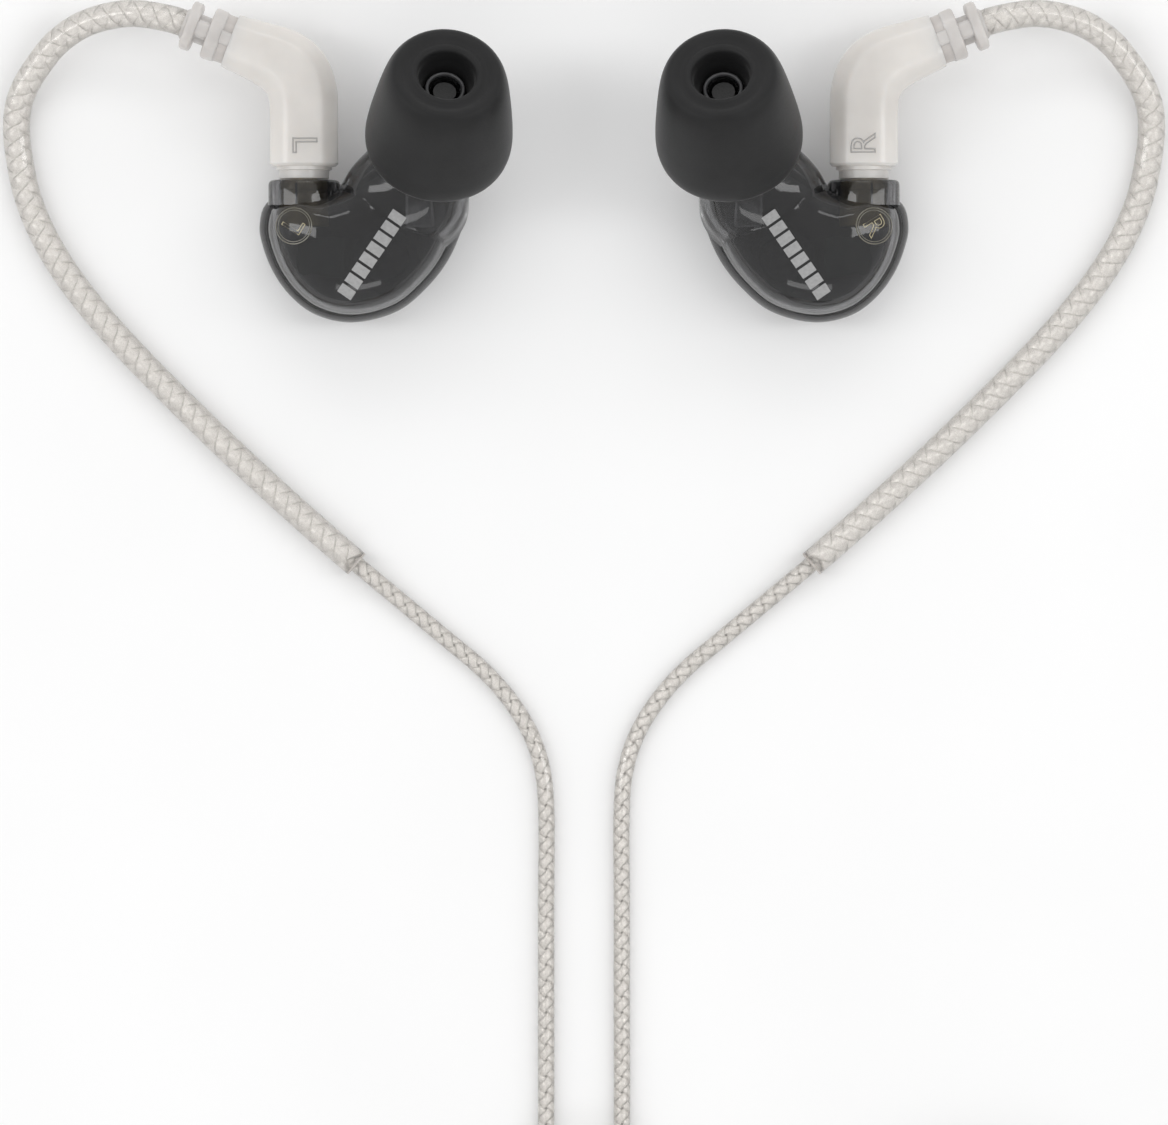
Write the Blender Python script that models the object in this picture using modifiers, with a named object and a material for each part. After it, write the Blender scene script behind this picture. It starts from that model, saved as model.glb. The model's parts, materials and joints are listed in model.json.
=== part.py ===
"""In ear monitors with detachable over-ear leads, lying on a table with the ear tips up.

Every size is in millimetres and becomes metres as a shape is made. Coordinates are given for the left side,
at negative X, and the right side mirrors them. +Z is up, and the table is the plane Z = 0.
"""

import math

import bmesh
import bpy
import numpy as np
from mathutils import Matrix, Vector

MM = 0.001
GAP = 0.3
TIGHT_FIT = 0.2
SIDES = {"left": 1.0, "right": -1.0}

# Housing: a bean-shaped outline, two shells that part at PARTING, and a jack whose axis runs along Y.
OUTLINE = [
    (-29.43, 5.34), (-29.16, 3.77), (-28.25, 1.43), (-26.68, -0.79), (-24.46, -2.49), (-21.07, -3.25),
    (-16.90, -2.23), (-14.29, -0.14), (-12.34, 2.34), (-11.03, 5.34), (-10.50, 7.95), (-11.20, 10.60),
    (-13.60, 12.20), (-17.00, 12.00), (-20.20, 10.40), (-22.40, 9.15), (-25.00, 8.55), (-27.60, 8.40),
    (-29.00, 7.30),
]
OUTLINE_CENTRE = (-20.0, 4.0)
OUTLINE_STEPS = 26
PARTING = 5.2
OUTER_DOME = [(5.2, 0.92), (4.5, 0.975), (3.5, 1.0), (2.4, 0.965), (1.3, 0.88), (0.5, 0.74), (0.0, 0.54)]
OUTER_HOLLOW = [(5.7, 0.835), (4.4, 0.87), (3.5, 0.89), (2.5, 0.86), (1.6, 0.76), (0.95, 0.54)]
INNER_DOME = [(5.5, 0.91), (6.3, 0.90), (7.4, 0.855), (8.4, 0.77), (9.3, 0.62), (9.9, 0.42), (10.1, 0.20)]
INNER_HOLLOW = [(5.0, 0.82), (6.3, 0.81), (7.2, 0.765), (8.0, 0.68), (8.8, 0.51), (9.2, 0.24)]

JACK_X = -25.32
JACK_Z = 5.35
COLLAR_RADIUS = 3.25
COLLAR_FROM = 6.3
COLLAR_TO = 9.6
COLLAR_FLATTENED = 0.15
COLLAR_STEPS = 12
JACK_BORE_RADIUS = 2.55
JACK_RADIUS = 2.25
JACK_INNER_RADIUS = 1.95
JACK_BACK = 5.4
JACK_MOUTH = 9.35
PLUG_RADIUS = 1.2
PLUG_INNER_RADIUS = 0.95
PLUG_NOSE = 7.0
PLUG_ROOT = 12.4
INSULATOR_FIT = 0.16
PLUG_INSULATOR_SPAN = (9.4, 12.0)
PIN_RADIUS = 0.18
PIN_NOSE = 7.3
PIN_ROOT = 12.2
SNAP_RING_SPAN = (7.6, 8.1)
CONTACT_RADIUS = 0.65
CONTACT_INNER_RADIUS = 0.42
CONTACT_SPAN = (5.0, 8.2)
JACK_INSULATOR_SPAN = (5.6, 6.6)

# Sound parts inside the housing. Each profile lists radius and height.
WOOFER_AT = (-18.0, 2.4, 2.0)
WOOFER_PROFILE = [
    (0.0, 3.0), (1.9, 3.0), (2.1, 2.6), (3.0, 2.5), (3.0, 1.0), (2.4, 0.9), (2.4, 0.0), (0.0, 0.0),
]
ARMATURE_AT = (-14.8, 7.4, 5.3)
ARMATURE_SIZE = (2.6, 4.2, 2.2)
ARMATURE_EDGE = 0.25
BOARD_AT = (-23.9, 2.8, 4.2)
BOARD_SIZE = (4.2, 3.4, 0.6)
BOARD_EDGE = 0.1
SCREEN_SPAN = (7.2, 7.5)

# Ear tip and nozzle share one leaning axis. Heights along it count from the rim of the tip's skirt.
TIP_BASE = (-13.13, 13.04, 10.2)
TIP_AXIS = (0.088, 0.543, 0.835)
NOZZLE_LENGTH = 8.0
NOZZLE_BORE_RADIUS = 1.25
SHELL_WALL = 0.9
STALK_STEPS = 14
# Each stalk section: centre, direction, radius along X, radius across.
STALK = [
    ((-16.40, 7.30, 5.60), (0.00, 0.00, 1.00), 6.0, 5.0),
    ((-16.05, 8.30, 7.20), (0.05, 0.28, 0.95), 5.7, 4.9),
    ((-15.20, 10.10, 8.60), (0.08, 0.46, 0.88), 4.9, 4.3),
    ((-13.90, 11.90, 9.50), (0.088, 0.543, 0.835), 3.9, 3.6),
]
# Nozzle sections beyond the stalk: height along the tip axis and radius.
NOZZLE = [(0.6, 2.7), (1.4, 2.1), (2.2, 1.95), (6.0, 1.95), (6.3, 2.1), (6.9, 2.1), (7.2, 1.9), (8.0, 1.75)]
TIP_PROFILE = [
    (2.60, 9.95), (3.00, 10.35), (3.40, 10.15), (3.90, 10.30), (4.50, 10.42), (5.05, 10.10), (5.45, 9.30),
    (5.75, 8.00), (6.05, 6.20), (6.35, 4.00), (6.60, 1.80), (6.62, 0.40), (6.50, -0.40), (6.30, -0.62),
    (6.10, -0.30), (6.05, 1.40), (5.85, 3.20), (5.45, 5.60), (5.10, 7.20), (4.50, 8.40), (3.60, 9.00),
    (3.00, 8.80), (2.95, 1.80), (2.30, 1.80), (2.30, 8.20), (2.50, 8.70),
]
TIP_STEPS = 18

# Connector: an elbow of eight-cornered sections. Each is a centre, a direction in the XY plane and a half width.
# CONNECTOR_CORNER is how far a slanting side stays from the section's middle, as a sum of both half sizes.
ARM_DIRECTION = (-0.935, 0.354)
ELBOW = [
    ((-25.32, 10.87), (0.00, 1.00), 3.07), ((-25.32, 15.60), (0.00, 1.00), 3.07),
    ((-25.42, 17.30), (-0.12, 0.99), 3.12), ((-25.82, 18.70), (-0.37, 0.93), 3.17),
    ((-26.62, 19.80), (-0.64, 0.77), 3.15), ((-27.82, 20.58), (-0.85, 0.52), 2.98),
    ((-29.40, 21.22), ARM_DIRECTION, 2.74), ((-32.00, 22.20), ARM_DIRECTION, 2.45),
    ((-33.99, 22.96), ARM_DIRECTION, 2.36),
]
CONNECTOR_DEPTH = 0.9
CONNECTOR_CORNER = 1.5
CONNECTOR_STEPS = 16
# Round sections below the elbow: Y and radius, for the neck and the lip.
CONNECTOR_NECK = [(9.90, 2.27), (10.45, 2.27), (10.50, 2.50), (10.82, 2.50)]
ARM_END = (-33.99, 22.96)
ARM_BORE_DEPTH = 4.2
ARM_BORE_RADIUS = 1.8
RELIEF_RADIUS = 1.5
RELIEF_FLANGE_RADIUS = 2.2
RELIEF_FLANGE_FROM = 1.1
RELIEF_FLANGE_TO = 2.15
RELIEF_ROOT = -2.6

# Ear hook: a clear sleeve of SLEEVE_RADIUS over the lead, from the strain relief to its cut end.
LEAD_RADIUS = 0.75
SLEEVE_RADIUS = 1.24
SLEEVE_BORE_RADIUS = 1.06
HOOK_ROUTE = [
    (-36.28, 23.83, 5.35), (-37.67, 24.24, 5.30), (-41.22, 24.71, 4.80), (-45.13, 23.87, 3.90),
    (-47.81, 22.15, 3.10), (-49.58, 20.05, 2.40), (-50.76, 18.15, 1.95), (-51.40, 16.33, 1.60),
    (-51.55, 14.09, 1.35), (-51.22, 11.24, 1.26), (-50.58, 8.33, 1.26), (-49.45, 5.42, 1.26),
    (-47.76, 2.33, 1.26), (-45.58, -0.76, 1.26), (-42.67, -4.22, 1.26), (-39.58, -7.49, 1.26),
    (-36.17, -10.91, 1.26), (-32.67, -14.31, 1.26), (-28.40, -18.30, 1.26), (-24.50, -21.80, 1.26),
    (-20.65, -25.15, 1.26),
]

# Free leads, one from each hook: to the coil at LEADS_COIL_CENTRE, then from it to the splitter.
LEAD_TO_COIL = {
    "left": [
        (-20.42, -25.35, 1.24), (-16.22, -28.85, 0.90), (-12.17, -32.22, 0.76), (-9.76, -34.22, 0.76),
        (-7.85, -36.13, 0.76), (-6.22, -38.22, 0.76), (-4.76, -40.76, 0.76), (-3.81, -43.67, 0.76),
        (-3.46, -46.58, 0.76), (-3.44, -56.00, 0.76), (-3.44, -66.00, 0.76), (-3.44, -76.00, 0.76),
        (-3.50, -86.00, 0.76), (-4.50, -91.50, 0.85), (-6.20, -96.20, 1.15),
    ],
    "right": [
        (20.42, -25.35, 1.24), (16.22, -28.85, 0.90), (12.17, -32.22, 0.76), (9.76, -34.22, 0.76),
        (7.85, -36.13, 0.76), (6.22, -38.22, 0.76), (4.76, -40.76, 0.76), (3.81, -43.67, 0.76),
        (3.46, -46.58, 0.76), (3.44, -56.00, 0.76), (3.44, -66.00, 0.76), (3.44, -76.00, 0.76),
        (3.20, -86.00, 0.76), (0.80, -90.80, 1.00), (-3.90, -94.60, 2.10),
    ],
}
LEAD_FROM_COIL = {
    "left": [
        (-12.00, -93.20, 4.70), (-7.00, -92.40, 4.60), (-3.00, -91.40, 4.00), (1.00, -90.50, 3.20),
        (5.00, -89.70, 2.40), (8.00, -89.50, 2.10),
    ],
    "right": [
        (-12.00, -93.20, 6.30), (-7.00, -92.30, 6.15), (-3.00, -90.60, 5.20), (1.00, -88.90, 4.00),
        (5.00, -87.90, 2.80), (8.00, -87.70, 2.10),
    ],
}
LEADS_COIL_CENTRE = (-18.0, -99.0)
LEADS_COIL_OUTER_LINE = 11.3
LEADS_COIL_INNER_LINE = 5.5
LEADS_COIL_HEIGHT = 3.1
COIL_LIFT = 0.45

SLIDER_LEAD_X = 3.44
SLIDER_FROM = -84.5
SLIDER_TO = -78.5
SLIDER_TOP = 3.4
SLIDER_HALF_WIDTH = 5.4
SLIDER_FLOOR = 0.05
SLIDER_SLOT_HALF = 1.06
SLIDER_SLOT_STEPS = 8
# The slider's right half, from its side to its top: inset from the side and drop from the top.
SLIDER_SHOULDER = [(0.0, 1.4), (0.5, 0.5), (1.6, 0.0)]

SPLITTER_FROM = 8.3
SPLITTER_Y = -88.6
SPLITTER_Z = 2.3
# Each splitter section: distance along it, half width and half height.
SPLITTER_SECTIONS = [(0.0, 2.2, 1.9), (0.6, 2.6, 2.2), (6.0, 2.5, 2.2), (8.6, 1.9, 1.85), (10.0, 1.6, 1.6)]
SPLITTER_STEPS = 20

# Main cord: from the splitter to its coil, and from the coil to the plug.
CORD_RADIUS = 1.1
CORD_TO_COIL = [(18.6, -88.6, 2.10), (20.0, -88.55, 1.90), (21.6, -88.35, 1.75)]
CORD_FROM_COIL = [(29.0, -119.2, 8.35), (22.0, -118.9, 6.60), (15.0, -118.3, 4.20), (7.8, -118.0, 3.05)]
MAIN_COIL_CENTRE = (35.3, -101.0)
MAIN_COIL_OUTER_LINE = 15.96
MAIN_COIL_INNER_LINE = 9.36
MAIN_COIL_HEIGHT = 9.0
TIE_WIDTH = 3.0
TIE_BULGE = 0.5
TIE_THICKNESS = 0.35
TIE_GAP = 0.08

# Plug: a 3.5 mm stereo plug that lies along -X. Each profile lists radius and distance from the cord's end.
PLUG_X = 7.5
PLUG_Y = -118.0
PLUG_AXIS_Z = 3.05
PLUG_RELIEF_PROFILE = [(0.0, 7.7), (2.1, 7.7), (2.1, 6.6), (1.7, 5.6), (1.45, 0.4), (1.2, 0.0), (0.0, 0.0)]
PLUG_SHELL_PROFILE = [
    (0.0, 20.4), (2.6, 20.4), (2.9, 20.0), (3.0, 12.0), (2.8, 8.6), (2.4, 8.0), (0.0, 8.0),
]
PLUG_SLEEVE_PROFILE = [(0.0, 26.2), (1.75, 26.2), (1.75, 21.2), (2.4, 21.2), (2.4, 20.7), (0.0, 20.7)]
PLUG_TIP_PROFILE = [
    (0.0, 34.4), (0.5, 34.2), (1.65, 32.2), (1.25, 31.3), (1.7, 30.6), (1.7, 30.4), (0.0, 30.4),
]
PLUG_REAR_INSULATOR = (1.7, 26.5, 27.1)
PLUG_RING = (1.75, 27.4, 29.2)
PLUG_FRONT_INSULATOR = (1.7, 29.5, 30.1)

TUBE_BEVEL_STEPS = 2
HOOK_SPACING = 4.0
LEAD_SPACING = 3.4
CORD_START_SPACING = 1.6
CORD_END_SPACING = 2.5
COIL_SOFTNESS = 0.6
TIE_EDGE = 0.2
TIE_HOLE_EDGE = 0.02
TIE_HOLE_BEYOND = 2.0
HOOK_LEAD_INSIDE = 4.4
SLEEVE_BORE_BEYOND = 0.6


# Helpers -----------------------------------------------------------------------------------------------------


def clear_scene():
    for old in list(bpy.data.objects):
        bpy.data.objects.remove(old)


def make_collection(name):
    made = bpy.data.collections.new(name)
    bpy.context.scene.collection.children.link(made)
    return made


def make_material(name, colour, roughness, metallic=0.0):
    made = bpy.data.materials.new(name)
    made.use_nodes = True
    shader = made.node_tree.nodes["Principled BSDF"]
    shader.inputs["Base Color"].default_value = (*colour, 1.0)
    shader.inputs["Roughness"].default_value = roughness
    shader.inputs["Metallic"].default_value = metallic
    return made


def mirrored(side, point):
    """The point of a left side list on the named side."""
    return (point[0] * SIDES[side], *point[1:])


def add_object(name, data, collection, material=None):
    made = bpy.data.objects.new(name, data)
    collection.objects.link(made)
    if material is not None:
        data.materials.append(material)
    return made


def finish_mesh(mesh, work):
    bmesh.ops.recalc_face_normals(work, faces=work.faces)
    work.to_mesh(mesh)
    work.free()
    mesh.shade_smooth()
    mesh.set_sharp_from_angle(angle=math.radians(35))


def loft(name, rings, collection, material=None):
    """A closed solid through rings of equally many points in millimetres, capped at both ends."""
    work = bmesh.new()
    rows = [[work.verts.new(Vector(p) * MM) for p in ring] for ring in rings]
    for low, high in zip(rows, rows[1:]):
        for i in range(len(low)):
            j = (i + 1) % len(low)
            work.faces.new((low[i], low[j], high[j], high[i]))
    work.faces.new(rows[0])
    work.faces.new(rows[-1])
    mesh = bpy.data.meshes.new(name)
    finish_mesh(mesh, work)
    return add_object(name, mesh, collection, material)


def turned(name, profile, origin, axis, steps, collection, material=None, closed=True):
    """A turned solid. The profile lists radius and height in millimetres, down its outer side."""
    mesh = bpy.data.meshes.new(name)
    count = len(profile)
    edges = [(i, i + 1) for i in range(count - 1)]
    if closed:
        edges.append((count - 1, 0))
    mesh.from_pydata([(r * MM, 0.0, h * MM) for r, h in profile], edges, [])
    made = add_object(name, mesh, collection, material)
    screw = made.modifiers.new("turn", "SCREW")
    screw.steps = steps
    screw.render_steps = steps
    screw.use_merge_vertices = True
    screw.merge_threshold = 0.00001
    screw.use_smooth_shade = True
    turn = Vector((0.0, 0.0, 1.0)).rotation_difference(Vector(axis))
    made.matrix_world = Matrix.Translation(Vector(origin) * MM) @ turn.to_matrix().to_4x4()
    return made


def ring_profile(inner, outer, low, high):
    return [(inner, high), (outer, high), (outer, low), (inner, low)]


def disc_profile(radius, low, high):
    return [(0.0, high), (radius, high), (radius, low), (0.0, low)]


def curve_through(points, closed=False, fine=12):
    """Points along a centripetal Catmull-Rom curve through the given ones."""
    knots = [np.array(p, float) for p in points]
    if closed:
        knots = [knots[-1], *knots, knots[0], knots[1]]
    else:
        knots = [2 * knots[0] - knots[1], *knots, 2 * knots[-1] - knots[-2]]
    found = []
    for a, b, c, d in zip(knots, knots[1:], knots[2:], knots[3:]):
        t0 = 0.0
        t1 = t0 + math.sqrt(np.linalg.norm(b - a))
        t2 = t1 + math.sqrt(np.linalg.norm(c - b))
        t3 = t2 + math.sqrt(np.linalg.norm(d - c))
        for t in np.linspace(t1, t2, fine, endpoint=False):
            ab = a + (b - a) * (t - t0) / (t1 - t0)
            bc = b + (c - b) * (t - t1) / (t2 - t1)
            cd = c + (d - c) * (t - t2) / (t3 - t2)
            abc = ab + (bc - ab) * (t - t0) / (t2 - t0)
            bcd = bc + (cd - bc) * (t - t1) / (t3 - t1)
            found.append(abc + (bcd - abc) * (t - t1) / (t2 - t1))
    found.append(knots[-2])
    return np.array(found)


def spaced(points, count, closed=False):
    """Equally spaced points along a line. A closed line doesn't repeat its first point."""
    steps = np.linalg.norm(np.diff(points, axis=0), axis=1)
    along = np.concatenate([[0.0], np.cumsum(steps)])
    at = np.linspace(0.0, along[-1], count + 1 if closed else count)
    if closed:
        at = at[:-1]
    return np.stack([np.interp(at, along, points[:, k]) for k in range(points.shape[1])], axis=1)


def line_length(points):
    return float(np.linalg.norm(np.diff(points, axis=0), axis=1).sum())


def tube(name, points, radius, collection, material=None, bevel_steps=TUBE_BEVEL_STEPS):
    """A solid round tube along the points, with filled caps."""
    data = bpy.data.curves.new(name, "CURVE")
    data.dimensions = "3D"
    data.bevel_depth = radius * MM
    data.bevel_resolution = bevel_steps
    data.use_fill_caps = True
    spline = data.splines.new("POLY")
    spline.points.add(len(points) - 1)
    for target, point in zip(spline.points, points):
        target.co = (*(Vector(point) * MM), 1.0)
    return add_object(name, data, collection, material)


def as_mesh(curve_object):
    """The same shape as a mesh with its caps welded, in place of the curve object."""
    graph = bpy.context.evaluated_depsgraph_get()
    graph.update()
    mesh = bpy.data.meshes.new_from_object(curve_object.evaluated_get(graph), depsgraph=graph)
    work = bmesh.new()
    work.from_mesh(mesh)
    bmesh.ops.remove_doubles(work, verts=work.verts, dist=0.000001)
    finish_mesh(mesh, work)
    name = curve_object.name
    collection = curve_object.users_collection[0]
    place = curve_object.matrix_world.copy()
    bpy.data.objects.remove(curve_object)
    made = add_object(name, mesh, collection)
    made.matrix_world = place
    return made


def flat_outline(name, outline, low, high, collection, material=None):
    """A flat outline in X and Z, thick along Y from low to high."""
    data = bpy.data.curves.new(name, "CURVE")
    data.dimensions = "2D"
    data.fill_mode = "BOTH"
    data.extrude = (high - low) / 2 * MM
    spline = data.splines.new("POLY")
    spline.points.add(len(outline) - 1)
    for target, (x, z) in zip(spline.points, outline):
        target.co = (x * MM, z * MM, 0.0, 1.0)
    spline.use_cyclic_u = True
    made = add_object(name, data, collection, material)
    upright = Matrix.Rotation(math.radians(90), 4, "X")
    made.matrix_world = Matrix.Translation((0.0, (low + high) / 2 * MM, 0.0)) @ upright
    bpy.context.view_layer.update()
    return made


def as_tool(made):
    made.hide_render = True
    made.display_type = "WIRE"
    return made


def combine(target, tool, operation):
    change = target.modifiers.new(operation.lower() + "_" + tool.name, "BOOLEAN")
    change.operation = operation
    change.object = as_tool(tool)
    change.solver = "EXACT"


def rounded_box(name, centre, size, bevel, collection, material):
    work = bmesh.new()
    bmesh.ops.create_cube(work, size=1.0)
    bmesh.ops.scale(work, vec=Vector(size) * MM, verts=work.verts)
    mesh = bpy.data.meshes.new(name)
    finish_mesh(mesh, work)
    made = add_object(name, mesh, collection, material)
    made.location = Vector(centre) * MM
    edges = made.modifiers.new("rounded", "BEVEL")
    edges.width = bevel * MM
    edges.segments = 2
    return made


def pivot(name, place, collection):
    made = bpy.data.objects.new(name, None)
    made.location = Vector(place) * MM
    made.empty_display_size = 0.002
    collection.objects.link(made)
    return made


def attach(pieces, parent):
    """Parents the pieces to an empty without moving them."""
    for piece in pieces:
        piece.parent = parent
        piece.matrix_parent_inverse = Matrix.Translation(parent.location).inverted()


# Housing -----------------------------------------------------------------------------------------------------


def outline_ring(side, height, scale):
    """The housing's outline, drawn in by scale about its centre, at one height."""
    points = spaced(curve_through(OUTLINE, closed=True), OUTLINE_STEPS, closed=True)
    centre = np.array(OUTLINE_CENTRE)
    flat = centre + (points - centre) * scale
    return [mirrored(side, (x, y, height)) for x, y in flat]


def dome(name, side, levels, collection, material=None):
    return loft(name, [outline_ring(side, height, scale) for height, scale in levels], collection, material)


def section_frame(direction):
    """Two directions across a section: one as near X as can be, and one square to it."""
    along = Vector(direction).normalized()
    across = Vector((1.0, 0.0, 0.0))
    across = (across - along * across.dot(along)).normalized()
    return across, along.cross(across)


def oval_ring(side, centre, direction, radius_x, radius_y, steps):
    across, up = section_frame(direction)
    ring = []
    for i in range(steps):
        turn = 2 * math.pi * i / steps
        point = Vector(centre) + across * radius_x * math.cos(turn) + up * radius_y * math.sin(turn)
        ring.append(mirrored(side, tuple(point)))
    return ring


def on_tip_axis(height):
    return tuple(Vector(TIP_BASE) + Vector(TIP_AXIS) * height)


def stalk_rings(side, wall):
    """The stalk and nozzle, drawn in by the wall, and for a hollow carried on past both ends."""
    rings = []
    if wall > 0:
        centre, direction, radius_x, radius_y = STALK[0]
        below = (centre[0], centre[1], centre[2] - 1.0)
        rings.append(oval_ring(side, below, direction, radius_x - wall, radius_y - wall, STALK_STEPS))
    for centre, direction, radius_x, radius_y in STALK:
        rings.append(oval_ring(side, centre, direction, radius_x - wall, radius_y - wall, STALK_STEPS))
    if wall > 0:
        sections = [(0.8, NOZZLE_BORE_RADIUS + 0.3), (1.8, NOZZLE_BORE_RADIUS), (9.0, NOZZLE_BORE_RADIUS)]
    else:
        sections = NOZZLE
    for height, radius in sections:
        rings.append(oval_ring(side, on_tip_axis(height), TIP_AXIS, radius, radius, STALK_STEPS))
    return rings


def half_collar(name, side, up, collection):
    """Half of the round collar that holds the jack, above or below the parting."""
    flat = PARTING + GAP if up else PARTING
    turn = 1.0 if up else -1.0
    outline = []
    for i in range(COLLAR_STEPS + 1):
        angle = math.pi * i / COLLAR_STEPS
        x = (JACK_X + COLLAR_RADIUS * math.cos(angle)) * SIDES[side]
        outline.append((x, flat + turn * (COLLAR_RADIUS - COLLAR_FLATTENED) * math.sin(angle)))
    return as_mesh(flat_outline(name, outline, COLLAR_FROM, COLLAR_TO, collection))


def jack_bore(name, side, collection):
    origin = mirrored(side, (JACK_X, 0.0, JACK_Z))
    profile = disc_profile(JACK_BORE_RADIUS, JACK_BACK - GAP, COLLAR_TO + 1.0)
    return turned(name, profile, origin, (0, 1, 0), 20, collection, closed=False)


def make_shells(side, parts, cutters, smoke):
    outer = dome(f"{side}_outer_shell", side, OUTER_DOME, parts, smoke)
    combine(outer, half_collar(f"{side}_lower_collar", side, False, cutters), "UNION")
    combine(outer, dome(f"{side}_lower_hollow", side, OUTER_HOLLOW, cutters), "DIFFERENCE")
    combine(outer, jack_bore(f"{side}_lower_jack_bore", side, cutters), "DIFFERENCE")
    inner = dome(f"{side}_inner_shell", side, INNER_DOME, parts, smoke)
    combine(inner, loft(f"{side}_stalk", stalk_rings(side, 0.0), cutters), "UNION")
    combine(inner, half_collar(f"{side}_upper_collar", side, True, cutters), "UNION")
    combine(inner, dome(f"{side}_upper_hollow", side, INNER_HOLLOW, cutters), "DIFFERENCE")
    combine(inner, loft(f"{side}_stalk_hollow", stalk_rings(side, SHELL_WALL), cutters), "DIFFERENCE")
    combine(inner, jack_bore(f"{side}_upper_jack_bore", side, cutters), "DIFFERENCE")
    return [outer, inner]


def make_jack(side, parts, brass, white):
    origin = mirrored(side, (JACK_X, 0.0, JACK_Z))
    barrel = turned(
        f"{side}_jack_barrel", ring_profile(JACK_INNER_RADIUS, JACK_RADIUS, JACK_BACK, JACK_MOUTH),
        origin, (0, 1, 0), 20, parts, brass,
    )
    insulator = turned(
        f"{side}_jack_insulator",
        ring_profile(CONTACT_RADIUS + TIGHT_FIT, JACK_INNER_RADIUS - TIGHT_FIT, *JACK_INSULATOR_SPAN),
        origin, (0, 1, 0), 16, parts, white,
    )
    contact = turned(
        f"{side}_jack_contact", ring_profile(CONTACT_INNER_RADIUS, CONTACT_RADIUS, *CONTACT_SPAN),
        origin, (0, 1, 0), 12, parts, brass,
    )
    return [barrel, insulator, contact]


def make_drivers(side, parts, dark_metal, steel, board_green):
    woofer = turned(
        f"{side}_dynamic_driver", WOOFER_PROFILE, mirrored(side, WOOFER_AT), (0, 0, 1), 24,
        parts, dark_metal, closed=False,
    )
    armature = rounded_box(
        f"{side}_armature_driver", mirrored(side, ARMATURE_AT), ARMATURE_SIZE, ARMATURE_EDGE, parts, steel,
    )
    board = rounded_box(
        f"{side}_crossover_board", mirrored(side, BOARD_AT), BOARD_SIZE, BOARD_EDGE, parts, board_green,
    )
    return [woofer, armature, board]


def make_nozzle_screen(side, parts, steel):
    return turned(
        f"{side}_nozzle_screen", disc_profile(NOZZLE_BORE_RADIUS - TIGHT_FIT, *SCREEN_SPAN),
        mirrored(side, TIP_BASE), mirrored(side, TIP_AXIS), 16, parts, steel, closed=False,
    )


def make_ear_tip(side, parts, rubber):
    return turned(
        f"{side}_ear_tip", TIP_PROFILE, mirrored(side, TIP_BASE), mirrored(side, TIP_AXIS), TIP_STEPS,
        parts, rubber,
    )


# Lead connector and ear hook ---------------------------------------------------------------------------------


def connector_section(side, centre, direction, half_width):
    """A section of the elbow: flat faces front and back, slanting to rounded sides."""
    along = Vector((direction[0], direction[1], 0.0)).normalized()
    across = Vector((along.y, -along.x, 0.0))
    ring = []
    for i in range(CONNECTOR_STEPS):
        turn = 2 * math.pi * (i + 0.5) / CONNECTOR_STEPS
        c, s = math.cos(turn), math.sin(turn)
        reach = min(1.0 / max(abs(c), abs(s)), CONNECTOR_CORNER / (abs(c) + abs(s)))
        point = Vector((centre[0], centre[1], JACK_Z)) + across * (half_width * reach * c)
        point.z += half_width * CONNECTOR_DEPTH * reach * s
        ring.append(mirrored(side, tuple(point)))
    return ring


def round_section(side, y, radius):
    ring = []
    for i in range(CONNECTOR_STEPS):
        turn = 2 * math.pi * (i + 0.5) / CONNECTOR_STEPS
        point = (JACK_X + radius * math.cos(turn), y, JACK_Z + radius * math.sin(turn))
        ring.append(mirrored(side, point))
    return ring


def make_connector(side, parts, cutters, milky):
    rings = [round_section(side, y, radius) for y, radius in CONNECTOR_NECK]
    rings += [connector_section(side, *section) for section in ELBOW]
    housing = loft(f"{side}_connector_housing", rings, parts, milky)
    plug_bore = turned(
        f"{side}_plug_bore", disc_profile(PLUG_RADIUS + GAP, CONNECTOR_NECK[0][0] - 1.0, PLUG_ROOT + GAP),
        mirrored(side, (JACK_X, 0.0, JACK_Z)), (0, 1, 0), 16, cutters, closed=False,
    )
    combine(housing, plug_bore, "DIFFERENCE")
    arm_bore = turned(
        f"{side}_arm_bore", disc_profile(ARM_BORE_RADIUS, -ARM_BORE_DEPTH, 1.0),
        mirrored(side, (*ARM_END, JACK_Z)), mirrored(side, (*ARM_DIRECTION, 0.0)), 16, cutters, closed=False,
    )
    combine(housing, arm_bore, "DIFFERENCE")
    return housing


def make_plug(side, parts, brass, white, steel):
    origin = mirrored(side, (JACK_X, 0.0, JACK_Z))
    barrel = turned(
        f"{side}_plug_barrel", ring_profile(PLUG_INNER_RADIUS, PLUG_RADIUS, PLUG_NOSE, PLUG_ROOT),
        origin, (0, 1, 0), 16, parts, brass,
    )
    pin = turned(
        f"{side}_plug_pin", disc_profile(PIN_RADIUS, PIN_NOSE, PIN_ROOT),
        origin, (0, 1, 0), 10, parts, brass, closed=False,
    )
    insulator = turned(
        f"{side}_plug_insulator",
        ring_profile(PIN_RADIUS + INSULATOR_FIT, PLUG_INNER_RADIUS - INSULATOR_FIT, *PLUG_INSULATOR_SPAN),
        origin, (0, 1, 0), 14, parts, white,
    )
    snap_ring = turned(
        f"{side}_snap_ring",
        ring_profile(PLUG_RADIUS + TIGHT_FIT, JACK_INNER_RADIUS - TIGHT_FIT, *SNAP_RING_SPAN),
        origin, (0, 1, 0), 20, parts, steel,
    )
    return barrel, pin, insulator, snap_ring


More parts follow.
